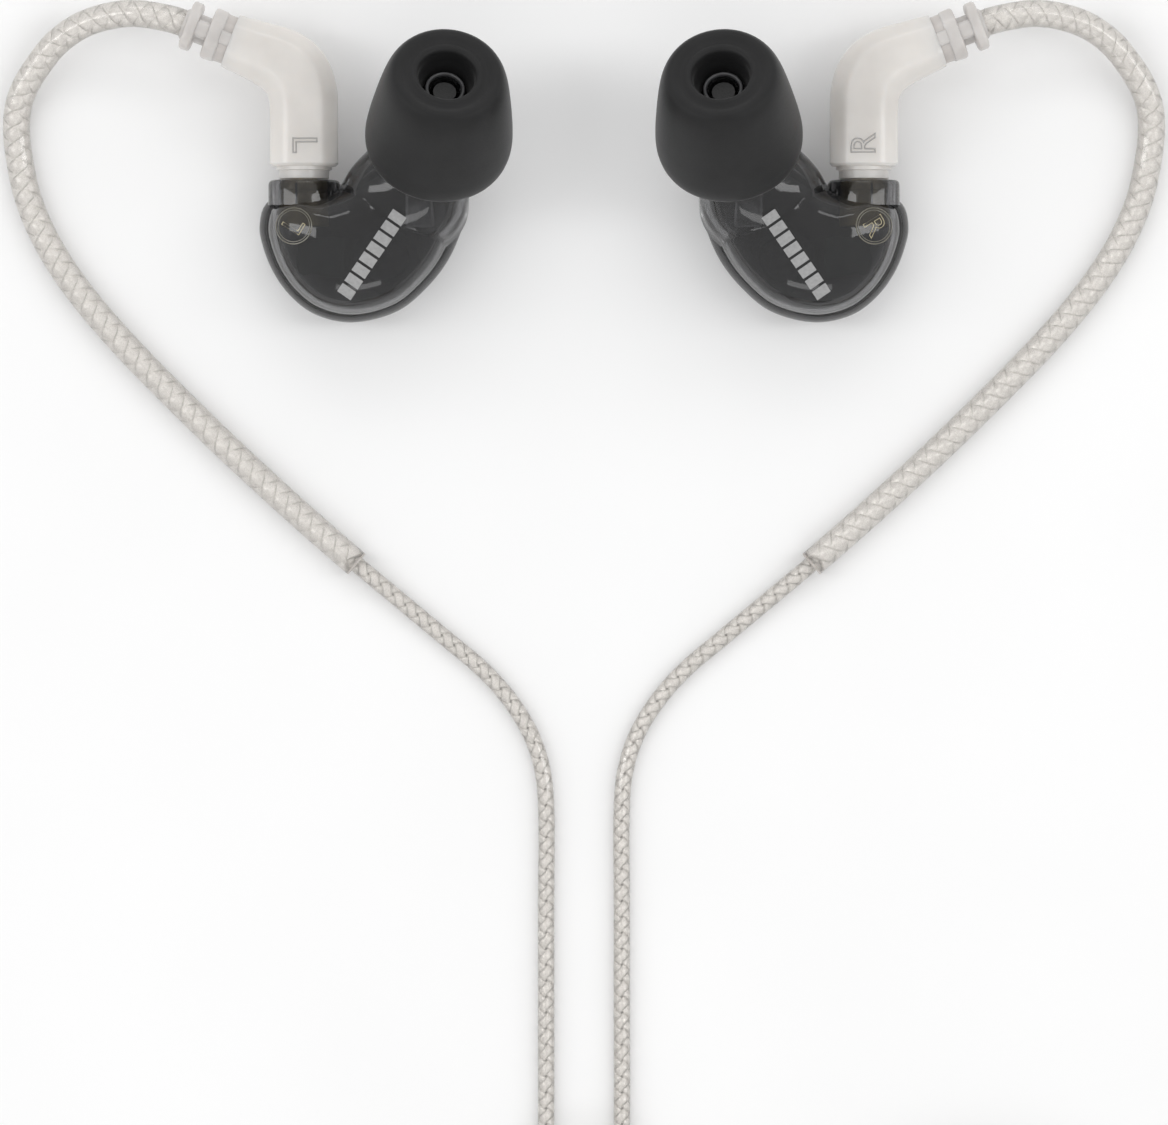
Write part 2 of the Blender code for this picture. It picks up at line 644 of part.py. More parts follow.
def make_strain_relief(side, parts, grey):
    bore = LEAD_RADIUS + GAP
    profile = [
        (bore, RELIEF_FLANGE_TO), (RELIEF_FLANGE_RADIUS, RELIEF_FLANGE_TO),
        (RELIEF_FLANGE_RADIUS, RELIEF_FLANGE_FROM), (RELIEF_RADIUS, RELIEF_FLANGE_FROM),
        (RELIEF_RADIUS, RELIEF_ROOT), (bore, RELIEF_ROOT),
    ]
    return turned(
        f"{side}_strain_relief", profile, mirrored(side, (*ARM_END, JACK_Z)),
        mirrored(side, (*ARM_DIRECTION, 0.0)), 20, parts, grey,
    )


def hook_line(side, extra_start, extra_end):
    """The hook's centreline, carried straight on at its ends by the extra lengths."""
    route = [np.array(mirrored(side, p)) for p in HOOK_ROUTE]
    arm = np.array(mirrored(side, (*ARM_DIRECTION, 0.0)))
    last = route[-1] - route[-2]
    last /= np.linalg.norm(last)
    if extra_start > 0:
        route.insert(0, route[0] - arm * extra_start)
    if extra_end > 0:
        route.append(route[-1] + last * extra_end)
    line = curve_through(route)
    return spaced(line, int(line_length(line) / HOOK_SPACING) + 1)


def make_hook(side, parts, cutters, clear_skin, lead_skin):
    sleeve = as_mesh(tube(f"{side}_hook_sleeve", hook_line(side, 0, 0), SLEEVE_RADIUS, parts))
    sleeve.data.materials.append(clear_skin)
    line = hook_line(side, SLEEVE_BORE_BEYOND, SLEEVE_BORE_BEYOND)
    bore = as_mesh(tube(f"{side}_sleeve_bore", line, SLEEVE_BORE_RADIUS, cutters))
    combine(sleeve, bore, "DIFFERENCE")
    lead = tube(f"{side}_hook_lead", hook_line(side, HOOK_LEAD_INSIDE, 0), LEAD_RADIUS, parts, lead_skin)
    return [sleeve, lead]


# Free cords, their coils and what is on them -----------------------------------------------------------------


def short_of_coil(line, centre, outer_line, radius):
    """The line up to where its tube would come within GAP of the coil's outer side."""
    limit = outer_line + 2 * radius + GAP
    away = np.hypot(line[:, 0] - centre[0], line[:, 1] - centre[1])
    near = np.flatnonzero(away < limit)
    return line[: near[0]] if len(near) else line


def free_tube(name, line, radius, spacing, parts, skin):
    return tube(name, spaced(line, int(line_length(line) / spacing) + 1), radius, parts, skin)


def make_coil(name, centre, inner_line, outer_line, height, radius, parts, skin):
    """A ring as wide and as high as the wound turns."""
    low, high = COIL_LIFT, COIL_LIFT + height
    inner, outer = inner_line - radius, outer_line + radius
    soft = radius * COIL_SOFTNESS
    profile = [
        (inner + soft, high), (outer - soft, high), (outer, high - soft), (outer, low + soft),
        (outer - soft, low), (inner + soft, low), (inner, low + soft), (inner, high - soft),
    ]
    return turned(name, profile, (*centre, 0.0), (0, 0, 1), 24, parts, skin)


def make_tie(name, centre, inner_line, outer_line, height, radius, parts, skin):
    """A band closed round the coil's section, on the coil's -X side."""
    near = centre[0] - outer_line - radius
    far = centre[0] - inner_line + radius
    low, high = COIL_LIFT - TIE_GAP, COIL_LIFT + height + TIE_GAP
    band = rounded_box(
        name, ((near + far) / 2, centre[1], (low + high) / 2),
        (far - near + 2 * TIE_BULGE + 2 * TIE_THICKNESS, TIE_WIDTH, high - low + 2 * TIE_THICKNESS),
        TIE_EDGE, parts, skin,
    )
    return band, ((near + far) / 2, centre[1], (low + high) / 2), (far - near + 2 * TIE_BULGE, high - low)


def make_tied_coil(name, centre, inner_line, outer_line, height, radius, parts, cutters, skin, strap):
    make_coil(f"{name}_coil", centre, inner_line, outer_line, height, radius, parts, skin)
    band, middle, opening = make_tie(
        f"{name}_tie", centre, inner_line, outer_line, height, radius, parts, strap
    )
    hole = rounded_box(
        f"{name}_tie_hole", middle, (opening[0], TIE_WIDTH + TIE_HOLE_BEYOND, opening[1]), TIE_HOLE_EDGE,
        cutters, None,
    )
    combine(band, hole, "DIFFERENCE")


def make_slider(parts, skin):
    """A clip over both leads, with a slot for each that is open below."""
    outline = [(-SLIDER_HALF_WIDTH, SLIDER_FLOOR)]
    for slot in (-SLIDER_LEAD_X, SLIDER_LEAD_X):
        outline.append((slot - SLIDER_SLOT_HALF, SLIDER_FLOOR))
        for i in range(SLIDER_SLOT_STEPS + 1):
            turn = math.pi * (1 - i / SLIDER_SLOT_STEPS)
            outline.append((
                slot + SLIDER_SLOT_HALF * math.cos(turn),
                LEAD_RADIUS + SLIDER_SLOT_HALF * math.sin(turn),
            ))
        outline.append((slot + SLIDER_SLOT_HALF, SLIDER_FLOOR))
    outline.append((SLIDER_HALF_WIDTH, SLIDER_FLOOR))
    outline += [(SLIDER_HALF_WIDTH - inset, SLIDER_TOP - drop) for inset, drop in SLIDER_SHOULDER]
    outline += [(inset - SLIDER_HALF_WIDTH, SLIDER_TOP - drop) for inset, drop in reversed(SLIDER_SHOULDER)]
    return flat_outline("cable_slider", outline, SLIDER_FROM, SLIDER_TO, parts, skin)


def make_splitter(parts, skin):
    """A moulded block, wide where the two leads come in and round where the main cord leaves."""
    rings = []
    for step, half_width, half_height in SPLITTER_SECTIONS:
        ring = []
        for i in range(SPLITTER_STEPS):
            turn = 2 * math.pi * i / SPLITTER_STEPS
            c, s = math.cos(turn), math.sin(turn)
            grow = (abs(c) ** 3 + abs(s) ** 3) ** (-1 / 3)
            ring.append((
                SPLITTER_FROM + step, SPLITTER_Y + half_width * grow * c, SPLITTER_Z + half_height * grow * s
            ))
        rings.append(ring)
    return loft("splitter", rings, parts, skin)


def make_jack_plug(parts, skin, relief_skin, gold, white):
    """A 3.5 mm three-contact plug, from its strain relief to its tip."""
    origin = (PLUG_X, PLUG_Y, PLUG_AXIS_Z)
    pieces = [
        ("plug_relief", PLUG_RELIEF_PROFILE, 20, relief_skin),
        ("plug_shell", PLUG_SHELL_PROFILE, 24, skin),
        ("plug_sleeve", PLUG_SLEEVE_PROFILE, 20, gold),
        ("plug_rear_insulator", disc_profile(*PLUG_REAR_INSULATOR), 20, white),
        ("plug_ring", disc_profile(*PLUG_RING), 20, gold),
        ("plug_front_insulator", disc_profile(*PLUG_FRONT_INSULATOR), 20, white),
        ("plug_tip", PLUG_TIP_PROFILE, 20, gold),
    ]
    for name, profile, steps, look in pieces:
        turned(name, profile, origin, (-1, 0, 0), steps, parts, look, closed=False)


def make_earphone(side, parts, cutters, look):
    shells = make_shells(side, parts, cutters, look["smoke"])
    jack = make_jack(side, parts, look["brass"], look["white"])
    drivers = make_drivers(side, parts, look["dark_metal"], look["steel"], look["board"])
    screen = make_nozzle_screen(side, parts, look["steel"])
    make_ear_tip(side, parts, look["rubber"])
    bpy.context.view_layer.update()
    attach([*shells, *jack, *drivers, screen], pivot(
        f"{side}_jack_pivot", mirrored(side, (JACK_X, COLLAR_TO, JACK_Z)), parts
    ))


def main():
    clear_scene()
    parts = make_collection("in_ear_monitors")
    cutters = make_collection("cutters")
    look = {
        "smoke": make_material("smoke_plastic", (0.045, 0.045, 0.05), 0.08),
        "brass": make_material("brass", (0.62, 0.48, 0.28), 0.3, 1.0),
        "white": make_material("white_plastic", (0.85, 0.84, 0.80), 0.4),
        "dark_metal": make_material("dark_metal", (0.10, 0.10, 0.11), 0.35, 1.0),
        "steel": make_material("steel", (0.60, 0.60, 0.60), 0.3, 1.0),
        "board": make_material("board_laminate", (0.03, 0.16, 0.09), 0.5),
        "rubber": make_material("black_silicone", (0.03, 0.03, 0.032), 0.55),
        "milky": make_material("milky_plastic", (0.78, 0.75, 0.71), 0.35),
        "relief": make_material("relief_rubber", (0.63, 0.57, 0.54), 0.5),
        "clear": make_material("clear_sleeve", (0.82, 0.78, 0.75), 0.15),
        "lead": make_material("plaited_lead", (0.72, 0.70, 0.67), 0.3),
        "strap": make_material("tie_fabric", (0.12, 0.12, 0.13), 0.8),
        "gold": make_material("gold_plating", (0.86, 0.66, 0.30), 0.2, 1.0),
    }
    for side in SIDES:
        make_earphone(side, parts, cutters, look)
        make_connector(side, parts, cutters, look["milky"])
        make_plug(side, parts, look["brass"], look["white"], look["steel"])
        make_strain_relief(side, parts, look["relief"])
        make_hook(side, parts, cutters, look["clear"], look["lead"])
        line = short_of_coil(
            curve_through(LEAD_TO_COIL[side]), LEADS_COIL_CENTRE, LEADS_COIL_OUTER_LINE, LEAD_RADIUS
        )
        free_tube(f"{side}_lead", line, LEAD_RADIUS, LEAD_SPACING, parts, look["lead"])
        line = curve_through(LEAD_FROM_COIL[side])
        free_tube(f"{side}_lead_end", line, LEAD_RADIUS, LEAD_SPACING, parts, look["lead"])
    make_tied_coil(
        "leads", LEADS_COIL_CENTRE, LEADS_COIL_INNER_LINE, LEADS_COIL_OUTER_LINE, LEADS_COIL_HEIGHT,
        LEAD_RADIUS, parts, cutters, look["lead"], look["strap"],
    )
    make_tied_coil(
        "main", MAIN_COIL_CENTRE, MAIN_COIL_INNER_LINE, MAIN_COIL_OUTER_LINE, MAIN_COIL_HEIGHT,
        CORD_RADIUS, parts, cutters, look["lead"], look["strap"],
    )
    make_slider(parts, look["milky"])
    make_splitter(parts, look["milky"])
    line = curve_through(CORD_TO_COIL)
    free_tube("main_cord_start", line, CORD_RADIUS, CORD_START_SPACING, parts, look["lead"])
    line = curve_through(CORD_FROM_COIL)
    free_tube("main_cord_end", line, CORD_RADIUS, CORD_END_SPACING, parts, look["lead"])
    make_jack_plug(parts, look["milky"], look["relief"], look["gold"], look["white"])


main()
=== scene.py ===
"""Looks of the in ear monitors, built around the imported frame."""
import json
import math

import bmesh
import bpy
import numpy as np
from mathutils import Matrix, Vector
from mathutils.bvhtree import BVHTree


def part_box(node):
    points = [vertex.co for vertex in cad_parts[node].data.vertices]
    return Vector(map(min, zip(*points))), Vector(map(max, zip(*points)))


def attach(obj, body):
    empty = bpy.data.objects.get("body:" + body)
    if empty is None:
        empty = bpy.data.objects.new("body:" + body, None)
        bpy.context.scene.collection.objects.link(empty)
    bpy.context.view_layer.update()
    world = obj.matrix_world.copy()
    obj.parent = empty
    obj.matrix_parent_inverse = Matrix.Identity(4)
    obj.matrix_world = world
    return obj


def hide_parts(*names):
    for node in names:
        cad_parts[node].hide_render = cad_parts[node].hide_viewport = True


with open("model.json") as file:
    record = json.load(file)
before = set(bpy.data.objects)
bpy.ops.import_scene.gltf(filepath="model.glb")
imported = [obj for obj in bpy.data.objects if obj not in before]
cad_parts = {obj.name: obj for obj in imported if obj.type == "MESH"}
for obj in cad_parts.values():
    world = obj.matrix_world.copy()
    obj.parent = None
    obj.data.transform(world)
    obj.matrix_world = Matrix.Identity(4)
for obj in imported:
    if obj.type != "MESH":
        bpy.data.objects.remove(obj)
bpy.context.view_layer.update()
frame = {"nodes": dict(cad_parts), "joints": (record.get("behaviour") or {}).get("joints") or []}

MM = 0.001
SIDES = {"left": 1.0, "right": -1.0}
JOINTS = {joint["name"]: joint for joint in frame["joints"]}

# Shapes below are in millimetres for the left side, as the CAD has them, and are placed by the jack's joint.
CAD_JACK = (-25.32, 9.6, 5.35)

OUTLINE = [
    (-29.43, 5.34), (-29.16, 3.77), (-28.25, 1.43), (-26.68, -0.79), (-24.46, -2.49), (-21.07, -3.25),
    (-16.90, -2.23), (-14.29, -0.14), (-12.34, 2.34), (-11.03, 5.34), (-10.50, 7.95), (-11.20, 10.60),
    (-13.60, 12.20), (-17.00, 12.00), (-20.20, 10.40), (-22.40, 9.15), (-25.00, 8.55), (-27.60, 8.40),
    (-29.00, 7.30),
]
OUTLINE_CENTRE = (-20.0, 4.0)
OUTLINE_STEPS = 120
PARTING = 5.2
GAP = 0.12
SEAM_LIP = [(4.95, 0.905), (4.98, 0.925), (4.75, 0.95), (4.3, 0.972), (3.5, 0.985), (3.3, 0.975),
            (3.3, 0.915), (3.5, 0.905)]
OUTER_DOME = [
    (5.2, 0.918), (5.1, 0.932), (4.8, 0.955), (4.3, 0.982), (3.5, 1.0), (2.4, 0.965), (1.3, 0.88),
    (0.5, 0.74), (0.12, 0.60), (0.0, 0.54),
]
# The seam shade band is black painted shade: it stands for the shade in the gap between the two shells and
# darkens the foot of the upper shell's wall.
SEAM_SHADE = [(5.215, 0.80), (5.215, 0.914), (5.305, 0.904), (5.305, 0.80)]
OUTER_HOLLOW = [(5.7, 0.835), (4.4, 0.87), (3.5, 0.89), (2.5, 0.86), (1.6, 0.76), (0.95, 0.54)]
INNER_DOME = [
    (5.32, 0.905), (5.6, 0.91), (6.3, 0.90), (7.4, 0.855), (8.4, 0.77), (9.3, 0.62), (9.9, 0.42),
    (10.1, 0.20),
]
INNER_HOLLOW = [(5.0, 0.82), (6.3, 0.81), (7.2, 0.765), (8.0, 0.68), (8.8, 0.51), (9.2, 0.24)]
COLLAR_RADIUS, COLLAR_FROM, COLLAR_TO = 3.25, 7.3, 9.6
COLLAR_MOUTH = [(9.15, 0.0), (9.4, 0.06), (9.54, 0.2)]
COLLAR_FLATTENED = 0.15
COLLAR_STEPS = 40
JACK_BORE_RADIUS, JACK_BORE_BACK = 2.4, 5.1

TIP_BASE = (-13.13, 13.04, 10.2)
TIP_AXIS = (0.088, 0.543, 0.835)
SHELL_WALL = 0.9
NOZZLE_BORE_RADIUS = 1.25
STALK_STEPS = 72
STALK = [
    ((-16.40, 7.30, 5.60), (0.00, 0.00, 1.00), 6.0, 5.0),
    ((-16.05, 8.30, 7.20), (0.05, 0.28, 0.95), 5.7, 4.9),
    ((-15.20, 10.10, 8.60), (0.08, 0.46, 0.88), 4.9, 4.3),
    ((-13.90, 11.90, 9.50), (0.088, 0.543, 0.835), 3.9, 3.6),
]
NOZZLE = [(0.6, 2.7), (1.4, 2.1), (2.2, 1.95), (6.0, 1.95), (6.3, 2.1), (6.9, 2.1), (7.2, 1.95), (7.8, 1.9),
          (8.0, 1.75)]
TIP_PROFILE = [
    (2.60, 9.95), (2.72, 10.22), (3.00, 10.35), (3.26, 10.24), (3.44, 10.14), (3.66, 10.16), (3.90, 10.26),
    (4.20, 10.38), (4.50, 10.42), (4.80, 10.34), (5.05, 10.10), (5.25, 9.76), (5.45, 9.25), (5.60, 8.70),
    (5.75, 8.00), (5.90, 7.15), (6.05, 6.20), (6.20, 5.15), (6.35, 4.00), (6.48, 2.95), (6.58, 1.90),
    (6.64, 1.00), (6.62, 0.30), (6.52, -0.30), (6.40, -0.56), (6.28, -0.62), (6.14, -0.42), (6.10, 0.20),
    (6.02, 1.60), (5.85, 3.20), (5.45, 5.60), (5.10, 7.20), (4.50, 8.40), (3.60, 9.00), (3.00, 8.80),
    (2.95, 1.80), (2.62, 1.65), (2.30, 1.80), (2.25, 7.90), (2.35, 8.40), (2.52, 8.90),
]

ARM_DIRECTION = (-0.935, 0.354)
ARM_END = (-33.99, 22.96)
ELBOW = [
    ((-25.32, 10.87), (0.00, 1.00), 2.95), ((-25.32, 11.10), (0.00, 1.00), 3.07),
    ((-25.32, 15.60), (0.00, 1.00), 3.07), ((-25.42, 17.30), (-0.12, 0.99), 3.12),
    ((-25.82, 18.70), (-0.37, 0.93), 3.17), ((-26.62, 19.80), (-0.64, 0.77), 3.15),
    ((-27.82, 20.58), (-0.85, 0.52), 2.98), ((-29.40, 21.22), ARM_DIRECTION, 2.74),
    ((-31.93, 22.18), ARM_DIRECTION, 2.46),
]
CONNECTOR_NECK = [(9.70, 2.20), (9.76, 2.25), (10.45, 2.27), (10.52, 2.50), (10.80, 2.50)]
CONNECTOR_STEPS = 96

LEAD_RADIUS = 0.75
LEAD_PITCH = 2.9
CORD_RADIUS = 1.1
CORD_PITCH = 4.2
SLEEVE_RADIUS = 1.24
HOOK_ROUTE = [
    (-36.28, 23.83, 5.35), (-37.67, 24.24, 5.30), (-41.22, 24.71, 4.80), (-45.13, 23.87, 3.90),
    (-47.81, 22.15, 3.10), (-49.58, 20.05, 2.40), (-50.76, 18.15, 1.95), (-51.40, 16.33, 1.60),
    (-51.55, 14.09, 1.35), (-51.22, 11.24, 1.26), (-50.58, 8.33, 1.26), (-49.45, 5.42, 1.26),
    (-47.76, 2.33, 1.26), (-45.58, -0.76, 1.26), (-42.67, -4.22, 1.26), (-39.58, -7.49, 1.26),
    (-36.17, -10.91, 1.26), (-32.67, -14.31, 1.26), (-28.40, -18.30, 1.26), (-24.50, -21.80, 1.26),
    (-20.65, -25.15, 1.26),
]
# The left lead from its hook to where the two leads part again. The right one mirrors it.
LEAD_RUN = [
    (-21.25, -24.63, 1.26), (-20.42, -25.35, 1.24), (-16.22, -28.85, 0.90), (-12.17, -32.22, 0.76),
    (-9.76, -34.22, 0.76), (-7.85, -36.13, 0.76), (-6.22, -38.22, 0.76), (-4.76, -40.76, 0.76),
    (-3.81, -43.67, 0.76), (-3.46, -46.58, 0.76), (-3.44, -56.00, 0.76), (-3.44, -66.00, 0.76),
    (-3.44, -76.00, 0.76),
]
LEAD_TO_COIL = {
    "left": [(-3.50, -86.00, 0.76), (-4.50, -91.50, 0.85), (-6.20, -96.20, 1.15)],
    "right": [(3.20, -86.00, 0.76), (0.80, -90.80, 1.00), (-3.90, -94.60, 2.10)],
}
LEAD_FROM_COIL = {
    "left": [
        (-12.00, -93.20, 4.70), (-7.00, -92.40, 4.60), (-3.00, -91.40, 4.00), (1.00, -90.50, 3.20),
        (5.00, -89.70, 2.40), (8.00, -89.50, 2.10),
    ],
    "right": [
        (-12.00, -93.20, 6.30), (-7.00, -92.30, 6.15), (-3.00, -90.60, 5.20), (1.00, -88.90, 4.00),
        (5.00, -87.90, 2.80), (8.00, -87.70, 2.10),
    ],
}
CORD_TO_COIL = [
    (18.3, -88.6, 2.12), (20.0, -88.55, 1.90), (21.6, -88.35, 1.75), (25.0, -87.40, 1.62),
    (29.5, -85.90, 1.56),
]
CORD_FROM_COIL = [(29.0, -119.2, 8.35), (22.0, -118.9, 6.60), (15.0, -118.3, 4.20), (7.8, -118.0, 3.05)]
LEADS_COIL_CENTRE = (-18.0, -99.0)
LEADS_COIL_OUTER_LINE = 11.3
LEADS_COIL_TURNS = 3.75
MAIN_COIL_CENTRE = (35.3, -101.0)
MAIN_COIL_OUTER_LINE = 15.96
MAIN_COIL_COLUMNS = 4
MAIN_COIL_TURNS = 14.5
MAIN_COIL_PITCH = 2.2
MAIN_COIL_LAYER = 2.25
MAIN_COIL_BULGE = 0.87
LEADS_COIL_PITCH = 1.55
LEADS_COIL_LAYER = 1.55
LEADS_CLIMB_FROM = 3.53
LEADS_CLIMB_TURNS = 0.27
LEADS_CLIMB = 3.35
COIL_LIFT = 0.45
COIL_STEPS = 40
CORD_STEP = 0.45
HOOK_STEP = 0.3

# A plait's parts as shares of its radius.
STRAND_LINE = 0.46
STRAND_WEAVE = 0.15
STRAND_HALF_WIDTH = 0.55
STRAND_HALF_DEPTH = 0.19
CORE_RADIUS = 0.42


# Geometry helpers --------------------------------------------------------------------------


def mirrored(side, point):
    return (point[0] * SIDES[side], *point[1:])


def circle(steps, start=0.0):
    """Cosines and sines at even steps round a circle."""
    turns = [2 * math.pi * (i + start) / steps for i in range(steps)]
    return [(math.cos(turn), math.sin(turn)) for turn in turns]


def curve_through(points, closed=False, fine=12):
    """Points along a centripetal Catmull-Rom curve through the given ones."""
    knots = [np.array(p, float) for p in points]
    if closed:
        knots = [knots[-1], *knots, knots[0], knots[1]]
    else:
        knots = [2 * knots[0] - knots[1], *knots, 2 * knots[-1] - knots[-2]]
    found = []
    for a, b, c, d in zip(knots, knots[1:], knots[2:], knots[3:]):
        t0 = 0.0
        t1 = t0 + math.sqrt(np.linalg.norm(b - a))
        t2 = t1 + math.sqrt(np.linalg.norm(c - b))
        t3 = t2 + math.sqrt(np.linalg.norm(d - c))
        for t in np.linspace(t1, t2, fine, endpoint=False):
            ab = a + (b - a) * (t - t0) / (t1 - t0)
            bc = b + (c - b) * (t - t1) / (t2 - t1)
            cd = c + (d - c) * (t - t2) / (t3 - t2)
            abc = ab + (bc - ab) * (t - t0) / (t2 - t0)
            bcd = bc + (cd - bc) * (t - t1) / (t3 - t1)
            found.append(abc + (bcd - abc) * (t - t1) / (t2 - t1))
    found.append(knots[-2])
    return np.array(found)


def spaced(points, count, closed=False):
    steps = np.linalg.norm(np.diff(points, axis=0), axis=1)
    along = np.concatenate([[0.0], np.cumsum(steps)])
    at = np.linspace(0.0, along[-1], count + 1 if closed else count)
    if closed:
        at = at[:-1]
    return np.stack([np.interp(at, along, points[:, k]) for k in range(points.shape[1])], axis=1)


def every(points, spacing):
    return spaced(points, int(line_length(points) / spacing) + 1)


def line_length(points):
    return float(np.linalg.norm(np.diff(points, axis=0), axis=1).sum())


def place(side, point):
    """A CAD point in millimetres as one in metres, moved with the side's jack."""
    jack = JOINTS[f"{side}_swivel"]["pos_m"]
    offset = [p - q for p, q in zip(point, CAD_JACK)]
    return (jack[0] + offset[0] * SIDES[side] * MM, jack[1] + offset[1] * MM, jack[2] + offset[2] * MM)


def mesh_object(name, points, faces, material=None, smooth_angle=40):
    mesh = bpy.data.meshes.new(name)
    mesh.from_pydata([tuple(p) for p in points], [], faces)
    work = bmesh.new()
    work.from_mesh(mesh)
    bmesh.ops.recalc_face_normals(work, faces=work.faces)
    work.to_mesh(mesh)
    work.free()
    mesh.shade_smooth()
    if smooth_angle:
        mesh.set_sharp_from_angle(angle=math.radians(smooth_angle))
    made = bpy.data.objects.new(name, mesh)
    bpy.context.scene.collection.objects.link(made)
    if material is not None:
        mesh.materials.append(material)
    return made


def ring_faces(rows, count, closed_rows=False, offset=0):
    """Quads between rows of equally many points."""
    faces = []
    last = rows if closed_rows else rows - 1
    for r in range(last):
        a, b = offset + r * count, offset + (r + 1) % rows * count
        for i in range(count):
            j = (i + 1) % count
            faces.append((a + i, a + j, b + j, b + i))
    return faces


def loft(name, rings, material=None, smooth_angle=40):
    count = len(rings[0])
    points = np.concatenate([np.array(ring, float) for ring in rings])
    faces = ring_faces(len(rings), count)
    faces.append(tuple(range(count)))
    faces.append(tuple(range(len(points) - count, len(points))))
    return mesh_object(name, points, faces, material, smooth_angle)


def turned(name, profile, origin, axis, material=None, steps=72, smooth_angle=40):
    """A turned solid from radius and height pairs in millimetres. Ends on the axis become caps."""
    along = Vector(axis).normalized()
    turn = Vector((0.0, 0.0, 1.0)).rotation_difference(along).to_matrix()
    on_axis = profile[0][0] < 1e-6
    kept = profile[1:-1] if on_axis else profile
    points = []
    for radius, height in kept:
        for c, s in circle(steps):
            local = Vector((radius * c, radius * s, height)) * MM
            points.append(Vector(origin) + turn @ local)
    faces = ring_faces(len(kept), steps, closed_rows=not on_axis)
    if on_axis:
        faces.append(tuple(range(steps)))
        faces.append(tuple(range(len(points) - steps, len(points))))
    return mesh_object(name, points, faces, material, smooth_angle)


def smooth_profile(profile, count, closed=True):
    """More points along a profile, through its own points."""
    return [tuple(p) for p in spaced(curve_through(profile, closed=closed), count, closed=closed)]


def frames_along(points):
    """A tangent and two normals at each point, turned as little as can be from one to the next."""
    tangents = np.gradient(points, axis=0)
    tangents /= np.linalg.norm(tangents, axis=1)[:, None]
    first = np.array([0.0, 0.0, 1.0])
    if abs(tangents[0] @ first) > 0.9:
        first = np.array([1.0, 0.0, 0.0])
    normals = [first - tangents[0] * (first @ tangents[0])]
    normals[0] /= np.linalg.norm(normals[0])
    for t in tangents[1:]:
        n = normals[-1] - t * (normals[-1] @ t)
        normals.append(n / np.linalg.norm(n))
    normals = np.array(normals)
    return tangents, normals, np.cross(tangents, normals)


def tube(name, points, radius, material=None, sides=20):
    """A solid tube along points in metres."""
    points = np.asarray(points, float)
    _, across, up = frames_along(points)
    turn = np.linspace(0, 2 * np.pi, sides, endpoint=False)
    around = np.cos(turn)[None, :, None] * across[:, None, :] + np.sin(turn)[None, :, None] * up[:, None, :]
    rows = len(points)
    faces = ring_faces(rows, sides)
    faces.append(tuple(range(sides)))
    faces.append(tuple(range((rows - 1) * sides, rows * sides)))
    return mesh_object(name, (points[:, None, :] + around * radius).reshape(-1, 3), faces, material)


def plait(name, points, radius, pitch, materials, per_pitch=16, section=8):
    """Four flat strands plaited round the line, each passing over and under the two that cross it.

    A plain core fills the line's middle, in the second material."""
    strand_line = radius * STRAND_LINE
    weave = radius * STRAND_WEAVE
    half_width = radius * STRAND_HALF_WIDTH
    half_depth = radius * STRAND_HALF_DEPTH
    line = every(np.asarray(points, float), pitch / per_pitch)
    along = np.arange(len(line)) * pitch / per_pitch
    _, across, up = frames_along(line)
    turn = np.linspace(0, 2 * np.pi, section, endpoint=False)
    rings = []
    for way in (1.0, -1.0):
        for phase in (0.0, np.pi):
            angle = way * 2 * np.pi * along / pitch + phase
            out = np.cos(angle)[:, None] * across + np.sin(angle)[:, None] * up
            reach = strand_line + way * weave * np.cos(4 * np.pi * along / pitch)
            centre = line + out * reach[:, None]
            tangent = np.gradient(centre, axis=0)
            tangent /= np.linalg.norm(tangent, axis=1)[:, None]
            side = np.cross(tangent, out)
            side /= np.linalg.norm(side, axis=1)[:, None]
            lift = np.cross(side, tangent)
            rings.append(
                centre[:, None, :]
                + np.cos(turn)[None, :, None] * side[:, None, :] * half_width
                + np.sin(turn)[None, :, None] * lift[:, None, :] * half_depth
            )
    rings.append(
        line[:, None, :] + (np.cos(turn)[None, :, None] * across[:, None, :]
                            + np.sin(turn)[None, :, None] * up[:, None, :]) * radius * CORE_RADIUS
    )
    rows = len(line)
    faces = []
    for n in range(len(rings)):
        start = n * rows * section
        faces += ring_faces(rows, section, offset=start)
        faces.append(tuple(range(start, start + section)))
        faces.append(tuple(range(start + (rows - 1) * section, start + rows * section)))
    points = np.concatenate([ring.reshape(-1, 3) for ring in rings])
    made = mesh_object(name, points, faces, materials[0], None)
    made.data.materials.append(materials[1])
    index = np.zeros(len(faces), np.int32)
    index[len(faces) * 4 // 5:] = 1
    made.data.polygons.foreach_set("material_index", index)
    return made


def combine(target, tool, operation):
    change = target.modifiers.new(operation.lower(), "BOOLEAN")
    change.operation = operation
    change.object = tool
    change.solver = "EXACT"


def settle(made, smooth_angle=38):
    """Applies the piece's modifiers and removes the shapes that they used."""
    tools = [m.object for m in made.modifiers if m.type == "BOOLEAN"]
    graph = bpy.context.evaluated_depsgraph_get()
    graph.update()
    mesh = bpy.data.meshes.new_from_object(made.evaluated_get(graph), depsgraph=graph)
    made.modifiers.clear()
    made.data = mesh
    mesh.shade_smooth()
    mesh.set_sharp_from_angle(angle=math.radians(smooth_angle))
    for tool in tools:
        bpy.data.objects.remove(tool)
    return made


# Materials ---------------------------------------------------------------------------------


